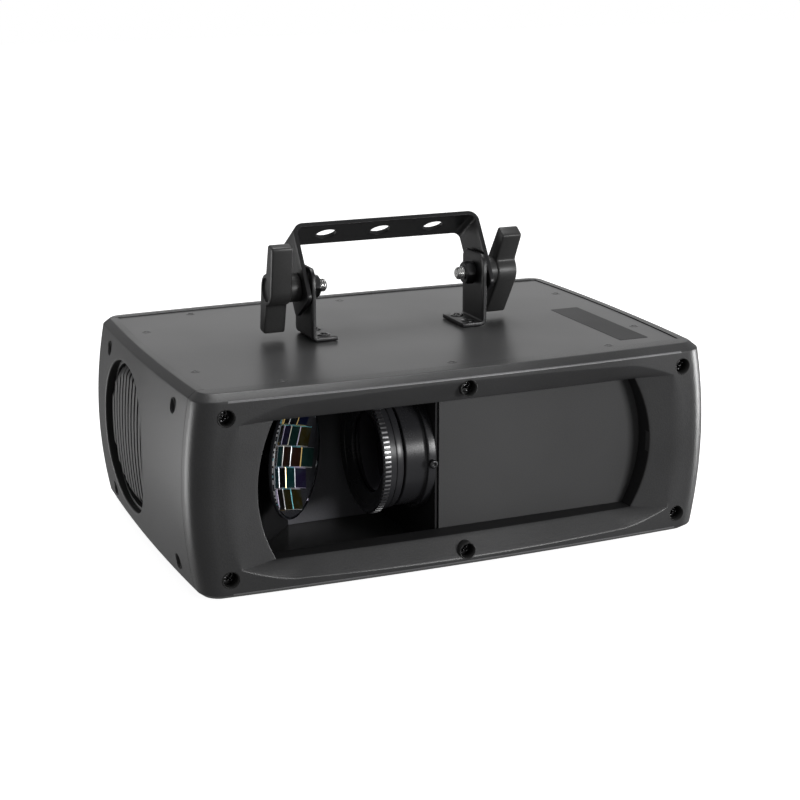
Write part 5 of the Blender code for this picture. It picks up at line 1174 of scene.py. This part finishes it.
def build_lens(optics):
    """Focus tube, holder and lens: profiles turned about the beam, the grip with square teeth."""
    centre, beam = (0.0, AXIS_Y, MIDDLE), (1, 0, 0)
    mouth = (FOCUS_FRONT_X, AXIS_Y, MIDDLE)
    tube = lathed("focus_tube_form", eased(TUBE_PROFILE, 0.2 * MM, 3), mouth, beam, 160, 35.0)
    piece(tube, "lens_black", "focus", "plastic", "focus_tube")
    wave = np.tile(TOOTH_ROUND, optics.tooth_count)[None] * optics.tooth_height
    grip = lathed("focus_grip_teeth", GRIP_PROFILE, mouth, beam, wave.size, 35.0, wave * TOOTH_ALONG[:, None])
    piece(grip, "grip", "focus", "plastic")
    _, y, z = face_values(grip, "center")
    refinish(grip, (np.hypot(y - AXIS_Y, z - MIDDLE) < TOOTH_ROOT + optics.tooth_height / 2, "lens_black"))
    holder = lathed("lens_holder_form", eased(HOLDER_PROFILE, 0.35 * MM, 4), centre, beam, 128, 35.0)
    piece(holder, "lens_black", "case", "plastic", "lens_holder")
    r = np.linspace(0, 1, 15)
    front = points_of(-LENS_EDGE - LENS_RISE * (1 - r ** 2), LENS_RADIUS * r)
    place = (FOCUS_FRONT_X + LENS_SETBACK, AXIS_Y, MIDDLE)
    glass = lathed("objective_glass", np.concatenate([front, front[::-1] * (-1, 1)]), place, beam, 96)
    piece(glass, "lens_glass", "focus", "glass", "objective_lens")
    place = ((HOLDER_BACK_X + FLANGE_X) / 2, AXIS_Y, MIDDLE)
    lock = lathed("focus_lock_form", eased(LOCK_PROFILE, 0.25 * MM), place, (0, -1, 0), 40)
    piece(lock, "nut", "focus_lock", "steel", "focus_lock_screw")


def dish_frame():
    """Centre of the dish, the directions along and up its rows of tiles, and its axis."""
    normal = np.array((math.sin(DISC_ANGLE), -math.cos(DISC_ANGLE), 0.0))
    upright = np.array((0.0, 0.0, 1.0))
    across = math.cos(TILE_TURN) * np.cross(upright, normal) + math.sin(TILE_TURN) * upright
    return np.array((DISC_X, AXIS_Y, MIDDLE + DISC_RAISE)), across, np.cross(normal, across), normal


def tile_mesh(optics):
    """Brick-laid tiles on the dish: each a plate on the tangent plane with a bevelled edge."""
    centre, across, up, normal = dish_frame()
    row, column = [v.ravel() for v in np.meshgrid(np.arange(-2, 3), np.arange(-3, 4), indexing="ij")]
    width, height = optics.tile_width, optics.tile_height
    along = column * width + np.where(row % 2 == 0, 0.0, width / 2)
    level = row * height
    keep = np.hypot(abs(along) + width / 2, abs(level) + height / 2) < optics.tile_reach
    along, level = along[keep][:, None], level[keep][:, None]
    lean = 2 * DISC_DISH / DISC_RADIUS ** 2
    lift = DISC_DISH * (along ** 2 + level ** 2) / DISC_RADIUS ** 2 + DISC_THICKNESS / 2
    rings = []
    flat = TILE_GAP + optics.tile_bevel
    for inset, rise in ((TILE_GAP, TILE_FOOT), (TILE_GAP, TILE_EDGE), (flat, TILE_TOP)):
        da = np.array((-1, 1, 1, -1)) * (width / 2 - inset)
        db = np.array((-1, -1, 1, 1)) * (height / 2 - inset)
        local = points_of(along + da, level + db, lift + lean * (along * da + level * db) + rise)
        rings.append(centre + local @ np.stack([across, up, normal]))
    near = np.array([(0, 1, 5, 4), (1, 2, 6, 5), (2, 3, 7, 6), (3, 0, 4, 7)])
    shape = np.concatenate([near, near + 4, [(8, 9, 10, 11)], [(3, 2, 1, 0)]])
    faces = (np.arange(len(along))[:, None, None] * 12 + shape[None]).reshape(-1, 4)
    return np.stack(rings, axis=1).reshape(-1, 3), faces, len(along)


def tile_tints_and_highlights(count):
    """Dark coated tops, and bevels painted white, cyan, gold or violet as highlights, with the sides below them
    at half brightness as painted shade; one row of colours a tile.
    """
    pick = np.random.default_rng(11)
    tops = np.array([(0.012, 0.012, 0.014), (0.016, 0.11, 0.115), (0.075, 0.06, 0.014), (0.045, 0.034, 0.1),
                     (0.02, 0.07, 0.06), (0.07, 0.03, 0.018), (0.016, 0.022, 0.075), (0.03, 0.024, 0.02)])
    # Painted highlights of the bevels
    edges = np.array([(0.95, 0.95, 0.97), (0.25, 0.80, 0.92), (0.95, 0.66, 0.22), (0.75, 0.68, 0.90),
                      (0.90, 0.86, 0.70), (0.95, 0.95, 0.97), (0.20, 0.22, 0.24)])
    colours = np.full((count, 10, 4), 1.0)
    colours[:, 8, :3] = 0.55 * tops[pick.permutation(np.arange(count) % len(tops))]
    colours[:, 9, :3] = 0.01
    colours[:, 4:8, :3] = edges[pick.integers(0, len(edges), (count, 4))]
    colours[:, :4, :3] = colours[:, 4:8, :3] * 0.5
    return colours.reshape(-1, 4)


def build_rim_glints():
    """Short facets round the dish's rim, some painted as bright glints along its left and all dark on its
    right: a flat ring turned about its axis.
    """
    centre, across, _, normal = dish_frame()
    lift = DISC_DISH + DISC_THICKNESS / 2
    ring = lathed("mirror_rim_glints", GLINT_BAND + (lift, DISC_RADIUS), centre, normal, GLINT_COUNT)
    obj = piece(ring, "tiles", "mirror", "mirror")
    pick = np.random.default_rng(5)
    # Painted glints: white and cyan facets among dark ones, all dark on the right
    shades = np.array([(0.95, 0.95, 0.97, 1.0), (0.30, 0.75, 0.85, 1.0), (0.01, 0.01, 0.012, 1.0)])
    chosen = pick.choice(3, GLINT_COUNT, p=(0.38, 0.12, 0.50))
    facet = shades[np.tile(chosen, len(obj.data.polygons) // GLINT_COUNT)]
    right = (np.stack(face_values(obj, "center"), axis=-1) - centre) @ across > -0.45 * DISC_RADIUS
    facet[right] = shades[2]
    tint_and_highlight_faces(obj.data, facet)


def tint_and_highlight_faces(mesh, colours):
    """Each face's own tint or painted highlight."""
    tint = mesh.attributes.new("tile_tint", "FLOAT_COLOR", "FACE")
    tint.data.foreach_set("color", colours.ravel())


def build_mirror(optics):
    """The dish, a parabola turned about its axis, with its tiles and its rim's glints."""
    centre, _, _, normal = dish_frame()
    r = np.linspace(0, 1, 19)
    rise, half = DISC_DISH * r ** 2, DISC_THICKNESS / 2
    front = points_of(rise + half, DISC_RADIUS * r)
    back = points_of(rise - half, DISC_RADIUS * r)[::-1]
    rim = eased(np.concatenate([front[-2:], back[:2]]), 0.8 * MM)[1:-1]
    bowl = lathed("mirror_dish", np.concatenate([front[:-1], rim, back[1:]]), centre, normal, 128)
    piece(bowl, "dish", "mirror", "mirror", "mirror_disc")
    points, faces, count = tile_mesh(optics)
    mesh = bpy.data.meshes.new("mirror_tiles")
    mesh.from_pydata(points.tolist(), [], faces.tolist())
    tint_and_highlight_faces(mesh, tile_tints_and_highlights(count))
    tiles = bpy.data.objects.new("mirror_tiles", mesh)
    bpy.context.scene.collection.objects.link(tiles)
    piece(tiles, "tiles", "mirror", "mirror")
    build_rim_glints()


def build_chamber():
    """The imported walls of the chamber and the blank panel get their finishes."""
    for node, finish in (("chamber_liner", "back_wall"), ("lens_bulkhead", "chamber"),
                         ("blank_panel", "panel"), ("mirror_hub", "lens_matt")):
        dress(node, finish)


# Yoke, brackets, pivots and knobs

def sheet_grid(path, half_widths):
    """A strip: each path point (x, height) spread across by t times its half width."""
    t = np.linspace(-1, 1, ACROSS_COUNT)
    return points_of(path[:, :1], half_widths[:, None] * t, path[:, 1:])


def bent_sheet(surface, name, inside, thickness, edge):
    """A strip made into sheet metal with softened edges."""
    obj = surface.build(name, inside)
    thicken(obj, thickness)
    obj.modifiers["Wall"].use_even_offset = True
    soften(obj, edge)
    return obj


def yoke_surface():
    """Legs and bends as a strip, and the bar as three patches from a rectangle to a round hole."""
    surface = Surface()
    out, reach, bend = YOKE_OUTER_X, YOKE_REACH, YOKE_BEND
    corner = np.linspace(math.pi / 2, 0, 9)
    low = -YOKE_TAIL + YOKE_CORNER * (1 - np.sin(corner))
    tail_half = YOKE_HALF_WIDTH - YOKE_CORNER * (1 - np.cos(corner))
    rise = np.linspace(-YOKE_TAIL + YOKE_CORNER, reach - bend, 9)[1:]
    arc = np.linspace(0, math.pi / 2, 11)[1:]
    path = np.concatenate([
        points_of(out, low), points_of(out, rise),
        points_of(out - bend + bend * np.cos(arc), reach - bend + bend * np.sin(arc)),
        [(1.5 * YOKE_HOLE_PITCH, reach)]])
    leg = sheet_grid(path, np.concatenate([tail_half, np.full(len(path) - len(low), YOKE_HALF_WIDTH)]))
    surface.grid(leg)
    surface.grid(leg * (-1, 1, 1))
    outer = border(even(YOKE_HOLE_PITCH / 2), even(YOKE_HALF_WIDTH), 17, ACROSS_COUNT)
    patch = span(outer, unit(outer) * YOKE_HOLE_RADIUS, 5)
    for hole in (-1, 0, 1):
        surface.grid(points_of(patch[..., 0] + hole * YOKE_HOLE_PITCH, patch[..., 1], reach), wrap=True)
    surface.points = [rotated(points + (0, 0, PIVOT_Z), -YOKE_TILT, "X", PIVOT) for points in surface.points]
    return surface


def build_yoke(rigging):
    obj = bent_sheet(yoke_surface(), "yoke_bar", PIVOT, YOKE_THICKNESS, rigging.sheet_edge)
    piece(obj, "paint", "yoke", "black", "yoke")


def build_brackets(rigging):
    """Foot, bend and tab as one strip whose tab corners are clipped."""
    floor, bend, out = LID_TOP + GAP, BRACKET_BEND, BRACKET_OUTER_X
    arc = np.linspace(0, math.pi / 2, 9)
    top = PIVOT_Z + BRACKET_TOP
    path = np.concatenate([
        [(BRACKET_FOOT_X, floor), (BRACKET_FOOT_X + 6 * MM, floor)],
        points_of(out - bend + bend * np.sin(arc), floor + bend - bend * np.cos(arc)),
        [(out, PIVOT_Z), (out, top - BRACKET_CHAMFER), (out, top)]])
    halves = np.full(len(path), BRACKET_HALF_WIDTH)
    halves[-1] -= BRACKET_CHAMFER
    for name, sign in SIDES:
        surface = Surface()
        surface.grid(sheet_grid(path, halves) * (sign, 1, 1))
        inside = (sign * 45 * MM, 0.0, floor + 15 * MM)
        obj = bent_sheet(surface, name + "_bracket_sheet", inside, BRACKET_THICKNESS, rigging.sheet_edge)
        piece(obj, "paint", "case", "black", name + "_bracket")


def build_pivots():
    """Bolt with thread ridges, and a hexagon nut whose corners are cut back by a cone."""
    run = np.linspace(BOLT_END_X + 1.0 * MM, BRACKET_OUTER_X, 90)
    wave = np.cos(run * 2 * math.pi / THREAD_PITCH)
    thread = points_of(run, BOLT_RADIUS - THREAD_DEPTH + THREAD_DEPTH * wave)
    bolt_back = KNOB_INNER_X + 5 * MM
    bolt = np.concatenate([[(BOLT_END_X, 0.0), (BOLT_END_X, 2.6 * MM), (BOLT_END_X + 0.6 * MM, 3.4 * MM)],
                           thread, [(bolt_back, BOLT_RADIUS), (bolt_back, 0.0)]])
    nut_start = BRACKET_OUTER_X - BRACKET_THICKNESS - GAP - NUT_WIDTH
    angle = np.linspace(0, 2 * math.pi, 96, endpoint=False)
    hexagon = NUT_ACROSS_FLATS / 2 / np.cos((angle + math.pi / 6) % (math.pi / 3) - math.pi / 6)
    radius = np.minimum(NUT_CONE[:, 1:], hexagon[None])
    steps = NUT_CONE * (1, 0) + (nut_start, 0)
    for name, sign in SIDES:
        obj = lathed(name + "_bolt_thread", bolt, PIVOT, (sign, 0, 0), 48)
        piece(obj, "bolt", "case", "steel", name + "_bolt")
        nut = lathed(name + "_nut_form", steps, PIVOT, (sign, 0, 0), 96, 20.0, radius)
        piece(nut, "nut", "case", "black", name + "_nut")
        dress(name + "_washer", "steel")


def knob_outline():
    """A round hub with two parallel wings set off to either side, its corners smoothed."""
    hub, thick, reach = KNOB_HUB_RADIUS, KNOB_WING_THICKNESS, KNOB_WING_REACH
    inner = thick - hub
    angle = np.linspace(math.acos(-inner / hub) - 0.05, 0.0, 16)[:-1]
    half = np.concatenate([[(-hub, 0.0), (-hub, reach), (inner, reach)],
                           points_of(hub * np.cos(angle), hub * np.sin(angle))])
    return smoothed(np.concatenate([half, -half]), 0.45 * MM, 1.3 * MM)


def build_knobs(rigging):
    """Wings as an upright outline between two depths with a shallow dish cut in, and a turned collar."""
    low, high, bore, rim = YOKE_OUTER_X + GAP, KNOB_INNER_X + 2 * MM, BOLT_RADIUS + GAP, KNOB_COLLAR_RADIUS
    ring = eased([(low, bore), (low, rim), (high, rim), (high, bore)], 0.5 * MM, 4, True)
    ring = np.concatenate([ring, ring[:1]])
    a, b = knob_outline().T
    for name, sign in SIDES:
        rings = np.stack([points_of(sign * x, -sign * a, PIVOT_Z + b) for x in (KNOB_INNER_X, KNOB_OUTER_X)])
        surface = Surface()
        surface.tube(rotated(rings, KNOB_TURNS[name], "X", PIVOT))
        obj = surface.build(name + "_knob_wings", None, 40.0)
        soften(obj, rigging.knob_edge, 4, 45.0)
        settle(obj, 40.0)
        dish = Surface()
        dish.tube(turned(KNOB_DISH, PIVOT, (sign, 0, 0), 64))
        carve(obj, dish, 35.0)
        piece(obj, "knob", name + "_knob", "plastic", name + "_wing_knob")
        collar = lathed(name + "_knob_collar", ring, PIVOT, (sign, 0, 0), 64)
        piece(collar, "knob", name + "_knob", "plastic")


def build_inside():
    """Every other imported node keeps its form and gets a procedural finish."""
    for finish, nodes in INSIDE_FINISHES.items():
        for node in nodes.split():
            dress(node, finish)


# Stage

def soft_light(name, place, aim, size, power):
    """A rectangular light that faces its aim."""
    data = bpy.data.lights.new(name, "AREA")
    data.shape = "RECTANGLE"
    data.size, data.size_y = size
    data.energy = power
    obj = bpy.data.objects.new(name, data)
    bpy.context.scene.collection.objects.link(obj)
    direction = Vector(aim) - Vector(place)
    obj.matrix_world = Matrix.Translation(place) @ direction.to_track_quat("-Z", "Y").to_matrix().to_4x4()


def surround(stage):
    """White where the camera looks past the object; the object is lit by a dimmer dome, darker below."""
    world = bpy.data.worlds.new("white_surround")
    world.use_nodes = True
    dome = Shading(world.node_tree)
    direction = dome.node("ShaderNodeTexCoord", {}, {}).outputs["Generated"]
    height = Number(dome, dome.node("ShaderNodeSeparateXYZ", {}, {"Vector": direction}).outputs["Z"])
    seen = Number(dome, dome.node("ShaderNodeLightPath", {}, {}).outputs["Is Camera Ray"])
    glow = dome.ramp(height, -0.3, 0.5) * (stage.sky - stage.ground) + stage.ground
    back = world.node_tree.nodes["Background"]
    dome.feed(back.inputs["Color"], (1.0, 1.0, 1.0))
    dome.feed(back.inputs["Strength"], seen * (1.0 - glow) + glow)
    bpy.context.scene.world = world


def build_stage(stage):
    """Flat floor that casts nothing back, the surround, the lights and the photo's camera."""
    floor = Surface()
    reach = np.linspace(-FLOOR_HALF, FLOOR_HALF, 5)
    floor.grid(points_of(reach[:, None], reach, FLOOR_Z))
    obj = floor.build("studio_floor", (0.0, 0.0, -1.0))
    f = Finish("studio_paper", Specular_IOR_Level=0.2, Emission_Color=(1.0, 1.0, 1.0), Emission_Strength=0.90)
    paper = f.noise(6.0, 3.0)
    f.set(Base_Color=f.mix(paper, shaded(stage.floor_colour, 0.985), stage.floor_colour[:]),
          Roughness=paper * 0.1 + 0.7)
    obj.data.materials.append(f.material)
    obj.visible_diffuse = obj.visible_glossy = obj.visible_shadow = False
    surround(stage)
    for name, (place, aim, size, power) in LIGHTS.items():
        soft_light(name, place, aim, size, getattr(stage, power))
    bpy.context.scene.view_settings.view_transform = "Standard"
    data = bpy.data.cameras.new("photo_camera")
    data.lens = CAMERA_LENS
    data.sensor_width = CAMERA_SENSOR
    turn = (Matrix.Rotation(CAMERA_AZIMUTH, 4, "Z") @ Matrix.Rotation(math.pi / 2 - CAMERA_ELEVATION, 4, "X")
            @ Matrix.Rotation(CAMERA_ROLL, 4, "Z"))
    camera = bpy.data.objects.new("photo_camera", data)
    camera.matrix_world = Matrix.Translation(CAMERA_TARGET) @ turn @ Matrix.Translation((0, 0, CAMERA_DISTANCE))
    bpy.context.scene.collection.objects.link(camera)
    bpy.context.scene.camera = camera


# Operators

class EFFECTLIGHT_OT_finishes(bpy.types.Operator):
    """Make the procedural finishes from the settings"""
    bl_idname = "effectlight.finishes"
    bl_label = "Finishes"

    def execute(self, context):
        finish_case(context.scene.light_case)
        finish_optics(context.scene.light_optics)
        finish_rigging(context.scene.light_rigging)
        return {"FINISHED"}


class EFFECTLIGHT_OT_front_bezel(bpy.types.Operator):
    """Front moulding with its window funnel and screw pockets"""
    bl_idname = "effectlight.front_bezel"
    bl_label = "Front bezel"

    def execute(self, context):
        build_front_bezel(context.scene.light_case)
        return {"FINISHED"}


class EFFECTLIGHT_OT_side_panels(bpy.types.Operator):
    """Two bulged side panels with a grille opening and screw pockets"""
    bl_idname = "effectlight.side_panels"
    bl_label = "Side panels"

    def execute(self, context):
        build_side_panels(context.scene.light_case)
        return {"FINISHED"}


class EFFECTLIGHT_OT_rear_frame(bpy.types.Operator):
    """Rear moulding round the socket plate"""
    bl_idname = "effectlight.rear_frame"
    bl_label = "Rear frame"

    def execute(self, context):
        build_rear_frame(context.scene.light_case)
        return {"FINISHED"}


class EFFECTLIGHT_OT_lids(bpy.types.Operator):
    """Lids, bare label field and rubber feet"""
    bl_idname = "effectlight.lids"
    bl_label = "Lids and feet"

    def execute(self, context):
        build_lids()
        return {"FINISHED"}


class EFFECTLIGHT_OT_screws(bpy.types.Operator):
    """Cross-recess screws of the case and brackets"""
    bl_idname = "effectlight.screws"
    bl_label = "Screws"

    def execute(self, context):
        build_screws()
        return {"FINISHED"}


class EFFECTLIGHT_OT_grilles(bpy.types.Operator):
    """Slatted side grilles"""
    bl_idname = "effectlight.grilles"
    bl_label = "Grilles"

    def execute(self, context):
        build_grilles(context.scene.light_grille)
        return {"FINISHED"}


class EFFECTLIGHT_OT_lens(bpy.types.Operator):
    """Focus tube, lens, holder and lock screw"""
    bl_idname = "effectlight.lens"
    bl_label = "Lens"

    def execute(self, context):
        build_lens(context.scene.light_optics)
        return {"FINISHED"}


class EFFECTLIGHT_OT_mirror(bpy.types.Operator):
    """Turning dish of mirror tiles"""
    bl_idname = "effectlight.mirror"
    bl_label = "Mirror dish"

    def execute(self, context):
        build_mirror(context.scene.light_optics)
        return {"FINISHED"}


class EFFECTLIGHT_OT_chamber(bpy.types.Operator):
    """Walls of the mirror chamber and the blank panel"""
    bl_idname = "effectlight.chamber"
    bl_label = "Chamber"

    def execute(self, context):
        build_chamber()
        return {"FINISHED"}


class EFFECTLIGHT_OT_yoke(bpy.types.Operator):
    """Bent yoke with three hanging holes"""
    bl_idname = "effectlight.yoke"
    bl_label = "Yoke"

    def execute(self, context):
        build_yoke(context.scene.light_rigging)
        return {"FINISHED"}


class EFFECTLIGHT_OT_brackets(bpy.types.Operator):
    """Angle brackets on the lid"""
    bl_idname = "effectlight.brackets"
    bl_label = "Brackets"

    def execute(self, context):
        build_brackets(context.scene.light_rigging)
        return {"FINISHED"}


class EFFECTLIGHT_OT_pivots(bpy.types.Operator):
    """Pivot bolts, nuts and washers"""
    bl_idname = "effectlight.pivots"
    bl_label = "Pivot hardware"

    def execute(self, context):
        build_pivots()
        return {"FINISHED"}


class EFFECTLIGHT_OT_knobs(bpy.types.Operator):
    """Two wing knobs"""
    bl_idname = "effectlight.knobs"
    bl_label = "Wing knobs"

    def execute(self, context):
        build_knobs(context.scene.light_rigging)
        return {"FINISHED"}


class EFFECTLIGHT_OT_inside(bpy.types.Operator):
    """Finishes of the inner parts and the rear sockets"""
    bl_idname = "effectlight.inside"
    bl_label = "Inner parts and rear"

    def execute(self, context):
        build_inside()
        return {"FINISHED"}


class EFFECTLIGHT_OT_stage(bpy.types.Operator):
    """Pale floor, soft lights and the camera"""
    bl_idname = "effectlight.stage"
    bl_label = "Stage"

    def execute(self, context):
        build_stage(context.scene.light_stage)
        return {"FINISHED"}


OPERATORS = (
    EFFECTLIGHT_OT_finishes, EFFECTLIGHT_OT_front_bezel, EFFECTLIGHT_OT_side_panels,
    EFFECTLIGHT_OT_rear_frame, EFFECTLIGHT_OT_lids, EFFECTLIGHT_OT_screws, EFFECTLIGHT_OT_grilles,
    EFFECTLIGHT_OT_lens, EFFECTLIGHT_OT_mirror, EFFECTLIGHT_OT_chamber, EFFECTLIGHT_OT_yoke,
    EFFECTLIGHT_OT_brackets, EFFECTLIGHT_OT_pivots, EFFECTLIGHT_OT_knobs, EFFECTLIGHT_OT_inside,
    EFFECTLIGHT_OT_stage)
SETTINGS = {"light_case": CaseSettings, "light_grille": GrilleSettings, "light_optics": OpticsSettings,
            "light_rigging": RiggingSettings, "light_stage": StageSettings}


class EFFECTLIGHT_PT_sidebar(bpy.types.Panel):
    """Settings and steps of the effect light"""
    bl_idname = "EFFECTLIGHT_PT_sidebar"
    bl_label = "Effect Light"
    bl_space_type = "VIEW_3D"
    bl_region_type = "UI"
    bl_category = "Effect Light"

    def draw(self, context):
        for name, group in SETTINGS.items():
            box = self.layout.box()
            for key in group.__annotations__:
                box.prop(getattr(context.scene, name), key)
        for operator in OPERATORS:
            self.layout.operator(operator.bl_idname)


def register():
    for name, group in SETTINGS.items():
        bpy.utils.register_class(group)
        setattr(bpy.types.Scene, name, PointerProperty(type=group))
    for cls in OPERATORS + (EFFECTLIGHT_PT_sidebar,):
        bpy.utils.register_class(cls)


def unregister():
    for cls in reversed(OPERATORS + (EFFECTLIGHT_PT_sidebar,)):
        bpy.utils.unregister_class(cls)
    for name, group in SETTINGS.items():
        delattr(bpy.types.Scene, name)
        bpy.utils.unregister_class(group)


def main():
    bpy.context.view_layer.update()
    register()
    for operator in OPERATORS:
        getattr(bpy.ops.effectlight, operator.bl_idname.split(".")[1])()


if __name__ == "__main__":
    main()
